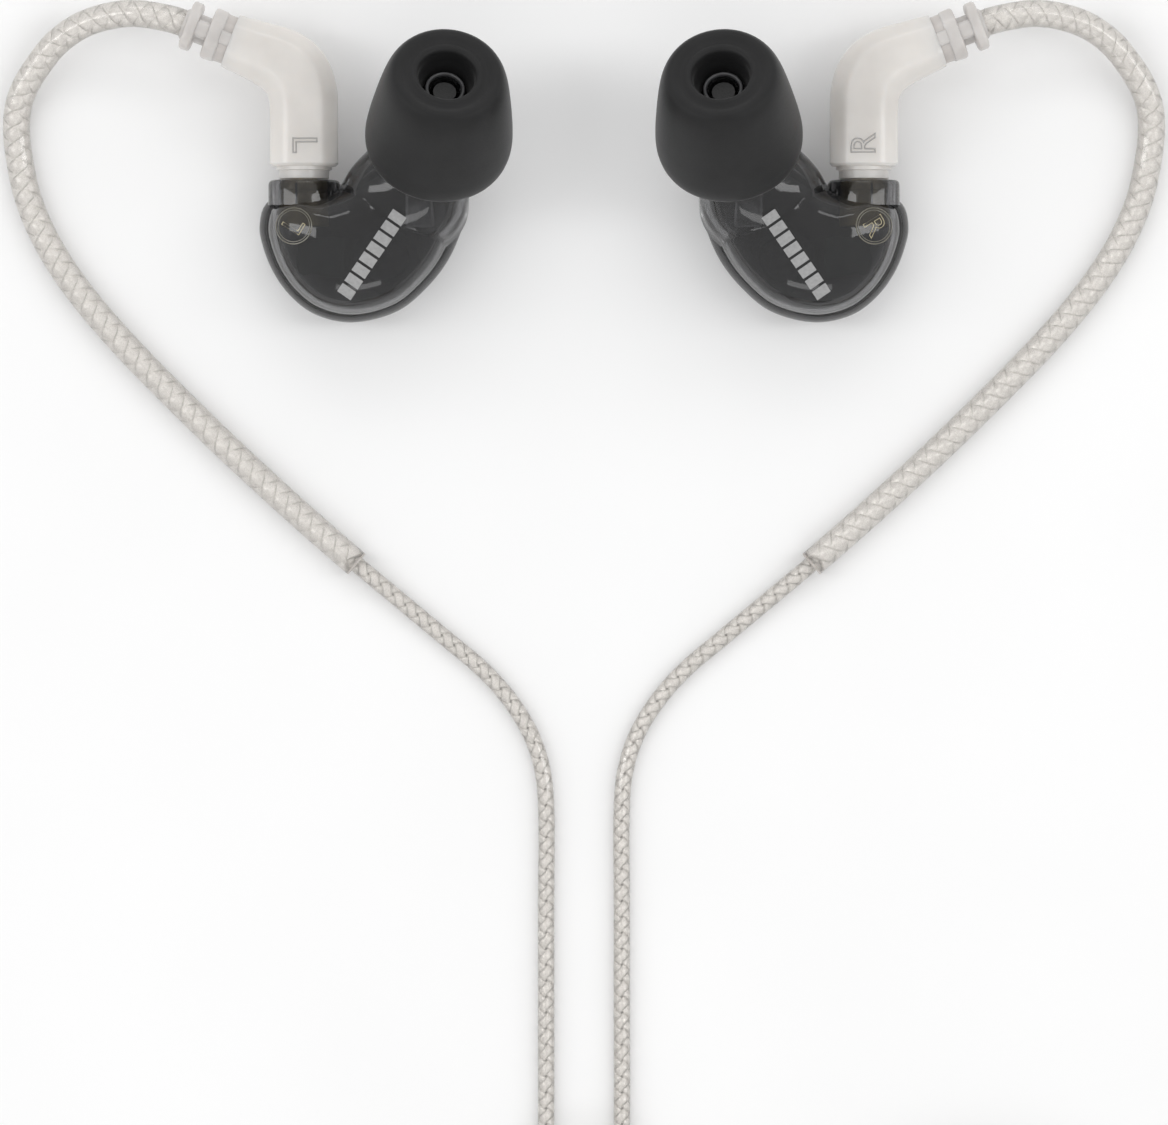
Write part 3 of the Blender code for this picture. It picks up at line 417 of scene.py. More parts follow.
class Nodes:
    """One material's node tree, with its Principled shader."""

    def __init__(self, name):
        self.material = bpy.data.materials.new(name)
        self.material.use_nodes = True
        self.tree = self.material.node_tree
        self.shader = self.tree.nodes["Principled BSDF"]
        self.output = self.tree.nodes["Material Output"]

    def add(self, kind, **values):
        node = self.tree.nodes.new(kind)
        for key, value in values.items():
            if key in node.inputs:
                node.inputs[key].default_value = value
            else:
                setattr(node, key, value)
        return node

    def link(self, source, target):
        self.tree.links.new(source, target)

    def set(self, **values):
        for key, value in values.items():
            self.shader.inputs[key.replace("_", " ")].default_value = value

    def noise(self, scale, detail=3.0, stretch=(1, 1, 1)):
        place_node = self.add("ShaderNodeTexCoord")
        mapping = self.add("ShaderNodeMapping")
        mapping.inputs["Scale"].default_value = stretch
        texture = self.add("ShaderNodeTexNoise", Scale=scale, Detail=detail)
        self.link(place_node.outputs["Object"], mapping.inputs["Vector"])
        self.link(mapping.outputs["Vector"], texture.inputs["Vector"])
        return texture.outputs["Fac"]

    def colours(self, value, low, high, at=(0.3, 0.7)):
        ramp = self.add("ShaderNodeValToRGB")
        ramp.color_ramp.elements[0].position = at[0]
        ramp.color_ramp.elements[0].color = (*low, 1)
        ramp.color_ramp.elements[1].position = at[1]
        ramp.color_ramp.elements[1].color = (*high, 1)
        self.link(value, ramp.inputs["Fac"])
        self.link(ramp.outputs["Color"], self.shader.inputs["Base Color"])

    def roughness(self, value, low, high):
        spread = self.add("ShaderNodeMapRange")
        spread.inputs["To Min"].default_value = low
        spread.inputs["To Max"].default_value = high
        self.link(value, spread.inputs["Value"])
        self.link(spread.outputs["Result"], self.shader.inputs["Roughness"])

    def bump(self, value, strength, distance):
        node = self.add("ShaderNodeBump", Strength=strength, Distance=distance)
        self.link(value, node.inputs["Height"])
        self.link(node.outputs["Normal"], self.shader.inputs["Normal"])

    def let_lamps_through(self, tint):
        """Shadow rays pass with a tint, as light does through thin clear plastic."""
        path = self.add("ShaderNodeLightPath")
        clear = self.add("ShaderNodeBsdfTransparent")
        clear.inputs["Color"].default_value = (*tint, 1)
        mix = self.add("ShaderNodeMixShader")
        self.link(path.outputs["Is Shadow Ray"], mix.inputs["Fac"])
        self.link(self.shader.outputs["BSDF"], mix.inputs[1])
        self.link(clear.outputs["BSDF"], mix.inputs[2])
        self.link(mix.outputs["Shader"], self.output.inputs["Surface"])


def smoke_plastic():
    n = Nodes("smoke_plastic")
    n.colours(n.noise(260, 2), (0.155, 0.155, 0.16), (0.195, 0.195, 0.20))
    n.set(Transmission_Weight=0.96, IOR=1.5, Roughness=0.06)
    n.let_lamps_through((0.74, 0.74, 0.75))
    return n.material


def moulded_mark():
    n = Nodes("moulded_mark")
    n.colours(n.noise(900), (0.10, 0.095, 0.07), (0.16, 0.15, 0.12))
    n.set(Roughness=0.25, Coat_Weight=0.5)
    return n.material


def printed_ink():
    n = Nodes("printed_ink")
    grain = n.noise(4000, 4)
    n.colours(grain, (0.30, 0.30, 0.30), (0.38, 0.38, 0.38))
    n.roughness(grain, 0.45, 0.6)
    return n.material


def black_silicone():
    n = Nodes("black_silicone")
    fine = n.noise(5200, 4)
    n.colours(n.noise(300, 3), (0.0075, 0.0075, 0.0078), (0.0115, 0.0115, 0.012))
    n.roughness(fine, 0.48, 0.6)
    n.bump(fine, 0.12, 0.00004)
    n.set(Sheen_Weight=0.12, Sheen_Roughness=0.4, Specular_IOR_Level=0.3)
    return n.material


def milky_plastic(name="milky_plastic", low=(0.67, 0.645, 0.615), high=(0.75, 0.725, 0.695)):
    n = Nodes(name)
    cloud = n.noise(220, 3)
    n.colours(cloud, low, high)
    n.roughness(n.noise(2600, 2), 0.28, 0.38)
    n.set(Subsurface_Weight=0.5, Subsurface_Scale=0.003, Coat_Weight=0.25, Coat_Roughness=0.15)
    n.shader.inputs["Subsurface Radius"].default_value = (1.0, 0.9, 0.8)
    return n.material


def relief_rubber(name="relief_rubber", low=(0.55, 0.525, 0.505), high=(0.65, 0.625, 0.605)):
    n = Nodes(name)
    cloud = n.noise(420, 3)
    n.colours(cloud, low, high)
    n.roughness(n.noise(3000, 2), 0.3, 0.45)
    n.set(Subsurface_Weight=0.3, Subsurface_Scale=0.001, Coat_Weight=0.2)
    n.shader.inputs["Subsurface Radius"].default_value = (1.0, 0.9, 0.8)
    return n.material


def clear_plastic(name, tint, lamp_tint, clear, rough):
    """Clear plastic with a little milk in it: the part that isn't clear scatters light."""
    n = Nodes(name)
    flow = n.noise(700, 2)
    n.colours(flow, tint, tuple(min(1.0, c * 1.04) for c in tint))
    n.set(Transmission_Weight=clear, IOR=1.46, Roughness=rough)
    n.let_lamps_through(lamp_tint)
    return n.material


def strand_wire():
    """Silver-white strands: fine wires under a thin pearly cover."""
    n = Nodes("strand_wire")
    wires = n.noise(9000, 2)
    n.colours(wires, (0.68, 0.66, 0.63), (0.92, 0.90, 0.87))
    n.roughness(wires, 0.28, 0.45)
    n.bump(wires, 0.2, 0.00002)
    n.set(Metallic=0.25, Sheen_Weight=0.2)
    return n.material


def metal(name, low, high, rough=(0.2, 0.35), scale=1800, metallic=1.0):
    n = Nodes(name)
    grain = n.noise(scale, 3, (1.0, 1.0, 6.0))
    n.colours(grain, low, high)
    n.roughness(grain, *rough)
    n.set(Metallic=metallic)
    return n.material


def opaque(name, low, high, rough=(0.35, 0.5), scale=1500):
    n = Nodes(name)
    grain = n.noise(scale, 3)
    n.colours(grain, low, high)
    n.roughness(grain, *rough)
    n.bump(grain, 0.1, 0.00003)
    return n.material


def woven_strap():
    n = Nodes("woven_strap")
    weave = n.add("ShaderNodeTexWave", Scale=1400.0, Distortion=1.5)
    where = n.add("ShaderNodeTexCoord")
    n.link(where.outputs["Object"], weave.inputs["Vector"])
    n.colours(weave.outputs["Fac"], (0.02, 0.02, 0.022), (0.09, 0.09, 0.095))
    n.bump(weave.outputs["Fac"], 0.6, 0.0001)
    n.set(Roughness=0.85, Sheen_Weight=0.5)
    return n.material


# Camera, floor and light -------------------------------------------------------------------

VIEW_WIDTH = 106.18 * MM
VIEW_CENTRE = (0.0, -25.0 * MM)
CAMERA_DISTANCE = 1.0
SENSOR_WIDTH = 36.0
FLOOR_HALF = 3.0
FLOOR_DROP = 0.00002
WORLD_STRENGTH = 0.76
LIGHT_TARGET = (0.0, 0.0, 0.01)
# Name, place, size and power of each soft box.
LIGHT_BOXES = [
    ("left_box", (-0.80, 0.10, 0.80), (0.20, 0.9), 2.0),
    ("right_box", (0.80, 0.10, 0.80), (0.20, 0.9), 2.0),
    ("far_box", (0.0, 0.95, 0.75), (0.9, 0.2), 1.5),
    ("near_box", (0.0, -1.05, 0.75), (0.9, 0.2), 1.2),
]


def make_camera():
    data = bpy.data.cameras.new("camera")
    data.sensor_width = SENSOR_WIDTH
    data.lens = SENSOR_WIDTH * CAMERA_DISTANCE / VIEW_WIDTH
    data.clip_end = 20.0
    camera = bpy.data.objects.new("camera", data)
    camera.location = (*VIEW_CENTRE, CAMERA_DISTANCE + LEAD_RADIUS * MM)
    bpy.context.scene.collection.objects.link(camera)
    bpy.context.scene.camera = camera


def make_floor():
    corners = [(x * FLOOR_HALF, y * FLOOR_HALF, 0.0) for x, y in ((-1, -1), (1, -1), (1, 1), (-1, 1))]
    n = Nodes("floor_paper")
    n.colours(n.noise(30, 2), (0.93, 0.93, 0.93), (0.95, 0.95, 0.95))
    n.set(Roughness=0.9)
    floor = mesh_object("floor", corners, [(0, 1, 2, 3)], n.material)
    floor.location.z = -FLOOR_DROP


def area_light(name, location, size, power):
    data = bpy.data.lights.new(name, "AREA")
    data.shape = "RECTANGLE"
    data.size, data.size_y = size
    data.energy = power
    light = bpy.data.objects.new(name, data)
    light.location = location
    light.rotation_euler = (Vector(LIGHT_TARGET) - Vector(location)).to_track_quat("-Z", "Y").to_euler()
    bpy.context.scene.collection.objects.link(light)


def make_lights():
    world = bpy.data.worlds.new("studio")
    bpy.context.scene.world = world
    world.use_nodes = True
    background = world.node_tree.nodes["Background"]
    background.inputs["Color"].default_value = (1, 1, 1, 1)
    background.inputs["Strength"].default_value = WORLD_STRENGTH
    for box in LIGHT_BOXES:
        area_light(*box)


# Cords -------------------------------------------------------------------------------------


def coil_point(centre, radius, angle, z):
    return (centre[0] + radius * math.cos(angle), centre[1] + radius * math.sin(angle), z)


def leads_coil_line(height):
    """The wound part of one lead: clockwise and inwards, then up over its own turns past the tie."""
    points = []
    for i in range(int(LEADS_COIL_TURNS * COIL_STEPS)):
        turns = i / COIL_STEPS
        angle = -2 * math.pi * turns
        radius = LEADS_COIL_OUTER_LINE - LEADS_COIL_PITCH * turns
        climb = min(1.0, max(0.0, (turns - LEADS_CLIMB_FROM) / LEADS_CLIMB_TURNS))
        z = COIL_LIFT + LEAD_RADIUS + height + LEADS_CLIMB * climb * climb * (3 - 2 * climb)
        points.append(coil_point(LEADS_COIL_CENTRE, radius, angle, z))
    return points


def main_coil_line():
    """The wound part of the main cord: clockwise in layers.

    The last turn of a layer climbs beside the others."""
    points = []
    for i in range(int(MAIN_COIL_TURNS * COIL_STEPS) + 1):
        turns = i / COIL_STEPS
        layer = int(turns // MAIN_COIL_COLUMNS)
        within = turns - layer * MAIN_COIL_COLUMNS
        climb = max(0.0, within - (MAIN_COIL_COLUMNS - 1))
        column = min(within, MAIN_COIL_COLUMNS - 1)
        bulge = math.sin(math.pi * climb) ** 0.4 * (1 - 0.55 * math.exp(-(((climb - 0.75) / 0.04) ** 2)))
        radius = MAIN_COIL_OUTER_LINE - column * MAIN_COIL_PITCH - bulge * MAIN_COIL_BULGE
        if layer % 2:
            column = MAIN_COIL_COLUMNS - 1 - column
            radius = MAIN_COIL_OUTER_LINE - column * MAIN_COIL_PITCH + bulge * MAIN_COIL_BULGE
        z = COIL_LIFT + CORD_RADIUS + (layer + climb) * MAIN_COIL_LAYER
        angle = math.pi / 2 - 2 * math.pi * turns
        points.append(coil_point(MAIN_COIL_CENTRE, radius, angle, z))
    return points


def cord_line(before, coil, after, skip_first, skip_last):
    """One smooth line in metres: in, through the coil and out."""
    line = curve_through([*before, *coil[skip_first:len(coil) - skip_last], *after], fine=4)
    return every(line * MM, CORD_STEP * MM)


def make_cord(name, line, radius, pitch, jacket, wire, nodes):
    skin = tube(name, line, radius * MM, jacket, 16)
    core = plait(name + "_strands", line, radius * MM, pitch * MM, wire, 14, 6)
    for piece in (skin, core):
        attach(piece, "cable")
    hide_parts(*nodes)
    return skin


def make_cords(look):
    for side, height in (("left", 0.0), ("right", LEADS_COIL_LAYER)):
        before = [mirrored(side, point) for point in LEAD_RUN] + LEAD_TO_COIL[side]
        line = cord_line(before, leads_coil_line(height), LEAD_FROM_COIL[side], 4, 1)
        make_cord(
            f"{side}_lead_jacket", line, LEAD_RADIUS, LEAD_PITCH,
            look["jacket"], look["wire"], [f"{side}_lead", f"{side}_lead_end", "leads_coil"],
        )
    line = cord_line(CORD_TO_COIL, main_coil_line(), CORD_FROM_COIL, 0, 2)
    make_cord(
        "main_cord_jacket", line, CORD_RADIUS, CORD_PITCH,
        look["jacket"], look["wire"], ["main_cord_start", "main_cord_end", "main_coil"],
    )


# Housings ----------------------------------------------------------------------------------


def flat_outline_points():
    return spaced(curve_through(OUTLINE, closed=True), OUTLINE_STEPS, closed=True)


def dome(name, side, levels, material=None):
    """A closed bowl through the housing's outline, drawn in by a scale at each height."""
    flat = flat_outline_points()
    centre = np.array(OUTLINE_CENTRE)
    fine = spaced(curve_through(levels, fine=8), 30)
    rings = []
    for height, scale in fine:
        ring = centre + (flat - centre) * scale
        rings.append([place(side, (x, y, height)) for x, y in ring])
    return loft(name, rings, material)


def outline_band(name, side, section, material):
    """A closed band round the housing's outline. Its section lists heights and scales."""
    flat = flat_outline_points()
    centre = np.array(OUTLINE_CENTRE)
    points = []
    for height, scale in section:
        points += [place(side, (x, y, height)) for x, y in centre + (flat - centre) * scale]
    faces = ring_faces(len(section), OUTLINE_STEPS, closed_rows=True)
    return mesh_object(name, points, faces, material)


def section_frame(direction):
    along = Vector(direction).normalized()
    across = Vector((1.0, 0.0, 0.0))
    across = (across - along * across.dot(along)).normalized()
    return across, along.cross(across)


def oval_ring(side, centre, direction, radius_x, radius_y):
    across, up = section_frame(direction)
    ring = []
    for c, s in circle(STALK_STEPS):
        point = Vector(centre) + across * radius_x * c + up * radius_y * s
        ring.append(place(side, tuple(point)))
    return ring


def on_tip_axis(height):
    along = Vector(TIP_AXIS).normalized()
    return tuple(Vector(TIP_BASE) + along * height)


def stalk(name, side, wall):
    """The stalk and nozzle, or with a wall the hollow inside them."""
    rows = [(*c, *d, rx, ry) for c, d, rx, ry in STALK]
    rings = []
    if wall > 0:
        (x, y, z), direction, rx, ry = STALK[0]
        rings.append(oval_ring(side, (x, y, z - 1.0), direction, rx - wall, ry - wall))
    for row in curve_through(rows, fine=5):
        rings.append(oval_ring(side, row[:3], row[3:6], row[6] - wall, row[7] - wall))
    sections = NOZZLE
    if wall > 0:
        sections = [(0.8, NOZZLE_BORE_RADIUS + 0.3), (1.8, NOZZLE_BORE_RADIUS), (7.5, NOZZLE_BORE_RADIUS),
                    (7.9, 1.5), (9.0, 1.5)]
    for height, radius in sections:
        rings.append(oval_ring(side, on_tip_axis(height), TIP_AXIS, radius, radius))
    return loft(name, rings)


def half_collar(name, side, up):
    """Half of the round collar at the jack, with its mouth's edge rounded."""
    flat = PARTING + GAP if up else PARTING
    turn = 1.0 if up else -1.0
    rings = []
    for y, shrink in [(COLLAR_FROM, 0.0), *COLLAR_MOUTH, (COLLAR_TO, 0.4)]:
        ring = []
        for i in range(COLLAR_STEPS + 1):
            angle = math.pi * i / COLLAR_STEPS
            x = CAD_JACK[0] + (COLLAR_RADIUS - shrink) * math.cos(angle)
            z = flat + turn * (COLLAR_RADIUS - COLLAR_FLATTENED - shrink) * math.sin(angle)
            ring.append(place(side, (x, y, z)))
        rings.append(ring)
    return loft(name, rings)


def jack_bore(name, side):
    profile = [(0.0, JACK_BORE_BACK), (JACK_BORE_RADIUS, JACK_BORE_BACK), (JACK_BORE_RADIUS, 9.4),
               (JACK_BORE_RADIUS + 0.25, COLLAR_TO + 0.02), (JACK_BORE_RADIUS + 0.25, 10.6), (0.0, 10.6)]
    return turned(name, profile, place(side, (CAD_JACK[0], 0.0, CAD_JACK[2])), (0, 1, 0), None, 96)


def make_shells(side, look):
    lower = dome(f"{side}_outer_housing", side, OUTER_DOME, look["smoke"])
    combine(lower, half_collar("tool_1", side, False), "UNION")
    combine(lower, dome("tool_2", side, OUTER_HOLLOW), "DIFFERENCE")
    combine(lower, jack_bore("tool_3", side), "DIFFERENCE")
    upper = dome(f"{side}_inner_housing", side, INNER_DOME, look["smoke"])
    combine(upper, stalk("tool_4", side, 0.0), "UNION")
    combine(upper, half_collar("tool_5", side, True), "UNION")
    combine(upper, dome("tool_6", side, INNER_HOLLOW), "DIFFERENCE")
    combine(upper, stalk("tool_7", side, SHELL_WALL), "DIFFERENCE")
    combine(upper, jack_bore("tool_8", side), "DIFFERENCE")
    lip = outline_band(f"{side}_seam_lip", side, SEAM_LIP, look["seam"])
    shade = outline_band(f"{side}_seam_shade", side, SEAM_SHADE, look["black_shade"])
    for piece in (lip, shade):
        combine(piece, jack_bore(piece.name + "_tool", side), "DIFFERENCE")
        settle(piece)
        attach(piece, f"{side}_earphone")
    for shell, node in ((lower, "outer_shell"), (upper, "inner_shell")):
        settle(shell)
        shell.data.materials.clear()
        shell.data.materials.append(look["smoke"])
        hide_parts(f"{side}_{node}")
        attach(shell, f"{side}_earphone")
    return upper


class Drape:
    """Heights of a surface seen from above, to lay prints and marks on it."""

    def __init__(self, *objects):
        points, faces = [], []
        for made in objects:
            start = len(points)
            points += [made.matrix_world @ v.co for v in made.data.vertices]
            faces += [[start + i for i in face.vertices] for face in made.data.polygons]
        self.tree = BVHTree.FromPolygons(points, faces)

    def height(self, x, y):
        hit = self.tree.ray_cast(Vector((x, y, 0.05)), Vector((0, 0, -1)))
        return hit[0].z if hit[0] is not None else 0.0


def outline_letter(name, text, size, line, centre, turn, surface, material):
    """A letter as a thin raised outline that follows the surface below it."""
    data = bpy.data.curves.new(name, "FONT")
    data.body = text
    data.size = size
    data.align_x = "CENTER"
    data.align_y = "CENTER"
    data.fill_mode = "NONE"
    data.bevel_depth = line / 2
    data.bevel_resolution = 2
    data.resolution_u = 6
    made = bpy.data.objects.new(name, data)
    bpy.context.scene.collection.objects.link(made)
    graph = bpy.context.evaluated_depsgraph_get()
    graph.update()
    mesh = bpy.data.meshes.new_from_object(made.evaluated_get(graph), depsgraph=graph)
    bpy.data.objects.remove(made)
    c, s = math.cos(turn), math.sin(turn)
    for v in mesh.vertices:
        x = centre[0] + c * v.co.x - s * v.co.y
        y = centre[1] + s * v.co.x + c * v.co.y
        v.co = (x, y, surface.height(x, y) + v.co.z)
    mesh.materials.clear()
    mesh.materials.append(material)
    mesh.shade_smooth()
    made = bpy.data.objects.new(name, mesh)
    bpy.context.scene.collection.objects.link(made)
    return made


def draped_ring(name, centre, radius, line, surface, material):
    points = []
    for i in range(73):
        angle = 2 * math.pi * i / 72
        x, y = centre[0] + radius * math.cos(angle), centre[1] + radius * math.sin(angle)
        points.append((x, y, surface.height(x, y)))
    return tube(name, points, line, material, 8)


def draped_bars(name, side, start, end, bars, height, surface, material):
    """A row of plain printed bars along a line, laid just above the surface."""
    start, end = Vector(start), Vector(end)
    along = (end - start).normalized()
    across = Vector((-along.y, along.x))
    points, faces = [], []
    at = 0.0
    for width, skip in bars:
        base = len(points)
        for i in range(BAR_STEPS + 1):
            for j in range(BAR_ROWS + 1):
                flat = start + along * (at + width * i / BAR_STEPS) + across * height * (j / BAR_ROWS - 0.5)
                x, y, _ = place(side, (flat.x, flat.y, 0.0))
                points.append((x, y, surface.height(x, y) + PRINT_LIFT))
        for i in range(BAR_STEPS):
            for j in range(BAR_ROWS):
                a = base + i * (BAR_ROWS + 1) + j
                faces.append((a, a + 1, a + BAR_ROWS + 2, a + BAR_ROWS + 1))
        at += width + skip
    return mesh_object(name, points, faces, material, None)


MARK_CENTRE = (-26.16, 5.35)
MARK_RADIUS = 1.63
LETTER_TURN = 58
LETTER_SIZE, LETTER_LINE = 2.7, 0.07
PRINT_FROM, PRINT_TO = (-21.65, -0.95), (-16.6, 6.4)
PRINT_HEIGHT = 1.45
PRINT_BARS = [(0.90, 0.25)] * 8
PRINT_LIFT = 0.03 * MM
BAR_STEPS = 8
BAR_ROWS = 10


def make_marks(side, upper, look):
    surface = Drape(upper)
    centre = place(side, (*MARK_CENTRE, 0.0))
    pieces = [
        draped_ring(f"{side}_mark_outer_ring", centre, MARK_RADIUS * MM, 0.06 * MM, surface, look["mark"]),
        draped_ring(
            f"{side}_mark_inner_ring", centre, (MARK_RADIUS - 0.2) * MM, 0.04 * MM, surface, look["mark"]
        ),
        outline_letter(
            f"{side}_mark_letter", side[0].upper(), LETTER_SIZE * MM, LETTER_LINE * MM, centre,
            math.radians(LETTER_TURN * SIDES[side]), surface, look["mark_line"],
        ),
        draped_bars(
            f"{side}_print", side, PRINT_FROM, PRINT_TO, PRINT_BARS, PRINT_HEIGHT, surface, look["ink"]
        ),
    ]
    for piece in pieces:
        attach(piece, f"{side}_earphone")


SLIT_X = -0.62


def arc_strip(name, side, offset, radius, start, end, material):
    """A narrow strip that lies along the socket's barrel on its upper side."""
    rings = []
    for y in np.linspace(start, end, 5):
        ring = []
        for dx, dr in ((-0.1, 0.0), (0.1, 0.0), (0.1, -0.2), (-0.1, -0.2)):
            x = offset + dx
            z = math.sqrt(radius ** 2 - x ** 2) + dr
            ring.append(place(side, (CAD_JACK[0] + x, y, CAD_JACK[2] + z)))
        rings.append(ring)
    return loft(name, rings, material)


def make_jack(side, look):
    origin = place(side, (CAD_JACK[0], 0.0, CAD_JACK[2]))
    profile = [(1.95, 5.4), (2.25, 5.4), (2.25, 8.3), (2.15, 8.4), (2.15, 8.6), (2.25, 8.7), (2.25, 9.25),
               (2.17, 9.35), (2.05, 9.35), (1.95, 9.2)]
    ring = turned(f"{side}_jack_ring", profile, origin, (0, 1, 0), look["brass"], 96)
    # The socket ring's slit is drawn as a black strip of painted shade laid on the ring, not cut into it.
    black_shade = arc_strip(f"{side}_jack_slit_shade", side, SLIT_X, 2.27, 7.4, 9.2, look["black_shade"])
    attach(black_shade, f"{side}_earphone")
    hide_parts(f"{side}_jack_barrel")
    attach(ring, f"{side}_earphone")


def make_ear_tip(side, look):
    joint = JOINTS[f"{side}_tip_pull"]
    origin = place(side, TIP_BASE)
    profile = smooth_profile(TIP_PROFILE, 150)
    tip = turned(f"{side}_silicone_tip", profile, origin, joint["axis"], look["silicone"], 120, 60)
    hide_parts(f"{side}_ear_tip")
    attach(tip, f"{side}_tip")


NOZZLE_RIM = [
    (1.50, 7.75), (1.50, 8.02), (1.60, 8.12), (1.72, 8.10), (1.79, 8.0), (1.76, 7.86), (1.62, 7.76),
]


def make_nozzle_rim(side, look):
    """The rolled rim of the nozzle's mouth, and the step below it."""
    profile = smooth_profile(NOZZLE_RIM, 40)
    rim = turned(f"{side}_nozzle_rim", profile, place(side, TIP_BASE), JOINTS[f"{side}_tip_pull"]["axis"],
                 look["rim"], 72, 60)
    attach(rim, f"{side}_earphone")


# Connectors, strain reliefs and ear hooks --------------------------------------------------

CORNER_LIMIT = 1.55
CORNER_HARDNESS = 26
CONNECTOR_DEPTH = 0.9
CONNECTOR_MARK_Y = 12.75
BLOCK_STEPS = 48


def octagon_ring(side, centre, direction, half_width, depth=CONNECTOR_DEPTH):
    """A section with flat faces front and back that slant to the sides, all edges slightly rounded."""
    along = Vector((direction[0], direction[1], 0.0)).normalized()
    across = Vector((along.y, -along.x, 0.0))
    ring = []
    for c, s in circle(CONNECTOR_STEPS, 0.5):
        limits = (1 / max(abs(c), 1e-6), 1 / max(abs(s), 1e-6), CORNER_LIMIT / (abs(c) + abs(s)))
        reach = sum(limit ** -CORNER_HARDNESS for limit in limits) ** (-1 / CORNER_HARDNESS)
        point = Vector((centre[0], centre[1], CAD_JACK[2])) + across * (half_width * reach * c)
        point.z += half_width * depth * reach * s
        ring.append(place(side, tuple(point)))
    return ring


def round_ring(side, y, radius):
    return [
        place(side, (CAD_JACK[0] + radius * c, y, CAD_JACK[2] + radius * s))
        for c, s in circle(CONNECTOR_STEPS, 0.5)
    ]


def on_arm(distance, offset=0.0):
    """A point in the plane of the elbow: along its arm from the end block, and across it."""
    x = ARM_END[0] + ARM_DIRECTION[0] * distance + ARM_DIRECTION[1] * offset
    y = ARM_END[1] + ARM_DIRECTION[1] * distance - ARM_DIRECTION[0] * offset
    return (x, y)


def arm_loft(name, side, sections, depth, material):
    """A solid along the arm. Each section is a distance from the end block and a half width."""
    rings = [octagon_ring(side, on_arm(at), ARM_DIRECTION, half, depth) for at, half in sections]
    return loft(name, rings, material, 35)


def arm_block(name, side, start, end, half_width, half_height, soft, material):
    """A slab across the arm with rounded edges: width across the arm, height along Z."""
    sections = [
        (start, 0.86), (start + soft * 0.3, 0.95), (start + soft, 1.0), (end - soft, 1.0),
        (end - soft * 0.3, 0.95), (end, 0.86),
    ]
    along = Vector((*ARM_DIRECTION, 0.0)).normalized()
    across = Vector((along.y, -along.x, 0.0))
    rings = []
    for at, scale in sections:
        ring = []
        for c, s in circle(BLOCK_STEPS, 0.5):
            reach = (abs(c) ** 5 + abs(s) ** 5) ** -0.2
            point = Vector((*on_arm(at), CAD_JACK[2])) + across * (half_width * scale * reach * c)
            point.z += half_height * scale * reach * s
            ring.append(place(side, tuple(point)))
        rings.append(ring)
    return loft(name, rings, material, 35)


WINDOW_FROM, WINDOW_TO = -2.15, -1.28


def make_connector(side, look):
    rows = [(*centre, *direction, half) for centre, direction, half in ELBOW[1:]]
    fine = curve_through(rows, fine=6)
    rings = [round_ring(side, y, radius) for y, radius in CONNECTOR_NECK]
    rings.append(octagon_ring(side, (CAD_JACK[0], 10.87), (0, 1), 2.85))
    for row in fine:
        rings.append(octagon_ring(side, row[:2], row[2:4], row[4]))
    rings.append(octagon_ring(side, on_arm(WINDOW_FROM), ARM_DIRECTION, 2.42))
    shell = loft(f"{side}_connector_shell", rings, look["milky"], 30)
    core = arm_loft(f"{side}_window_core", side, [(WINDOW_FROM - 0.02, 2.2), (WINDOW_TO + 0.02, 2.2)],
                    CONNECTOR_DEPTH, look["window"])
    tab = arm_block(f"{side}_window_tab", side, WINDOW_FROM - 0.1, WINDOW_TO + 0.1, 0.8, 2.16, 0.05,
                    look["relief"])
    block = arm_loft(f"{side}_end_block", side, [
        (WINDOW_TO, 2.22), (WINDOW_TO + 0.12, 2.32), (-0.25, 2.37), (-0.08, 2.30), (0.0, 2.12),
    ], CONNECTOR_DEPTH, look["relief"])
    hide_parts(f"{side}_connector_housing")
    surface = Drape(shell)
    centre = place(side, (CAD_JACK[0], CONNECTOR_MARK_Y, 0.0))
    # The letter is a raised outline in a darker milky colour: painted shade of its raised edges.
    letter = outline_letter(
        f"{side}_connector_letter", side[0].upper(), 3.15 * MM, 0.12 * MM, centre,
        math.radians(-90 * SIDES[side]), surface, look["milky_letter_shade"],
    )
    for piece in (shell, core, tab, block, letter):
        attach(piece, "cable")


def make_strain_relief(side, look):
    origin = place(side, (*ARM_END, CAD_JACK[2]))
    axis = (ARM_DIRECTION[0] * SIDES[side], ARM_DIRECTION[1], 0.0)
    core = turned(f"{side}_relief_core", [(0.9, -1.2), (1.32, -1.2), (1.32, 1.4), (0.9, 1.4)], origin, axis,
                  look["relief"], 64)
    web = arm_block(f"{side}_relief_web", side, -0.1, 1.2, 0.85, 1.9, 0.05, look["relief"])
    flange = arm_block(f"{side}_relief_flange", side, 1.08, 2.12, 2.24, 2.1, 0.22, look["relief"])
    neck = turned(f"{side}_relief_neck", [(0.9, 1.9), (1.5, 1.9), (1.45, 2.25), (1.32, 2.4), (0.9, 2.4)],
                  origin, axis, look["relief"], 64)
    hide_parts(f"{side}_strain_relief")
    for piece in (core, web, flange, neck):
        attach(piece, "cable")


def hook_line(side, extra_start, extra_end):
    """The ear hook's line in metres, made longer at each end. A negative end makes it shorter there."""
    route = [np.array(place(side, p)) for p in HOOK_ROUTE]
    arm = np.array((ARM_DIRECTION[0] * SIDES[side], ARM_DIRECTION[1], 0.0))
    last = route[-1] - route[-2]
    last /= np.linalg.norm(last)
    if extra_start > 0:
        route.insert(0, route[0] - arm * extra_start * MM)
    if extra_end > 0:
        route.append(route[-1] + last * extra_end * MM)
    line = every(curve_through(route), HOOK_STEP * MM)
    return line if extra_end >= 0 else line[: int(extra_end / HOOK_STEP) - 1]


SLEEVE_STRANDS_RADIUS = 1.22
SLEEVE_EDGE = [(0.77, -0.16), (1.2, -0.16), (1.23, 0.0), (1.16, 0.03), (0.77, 0.03)]


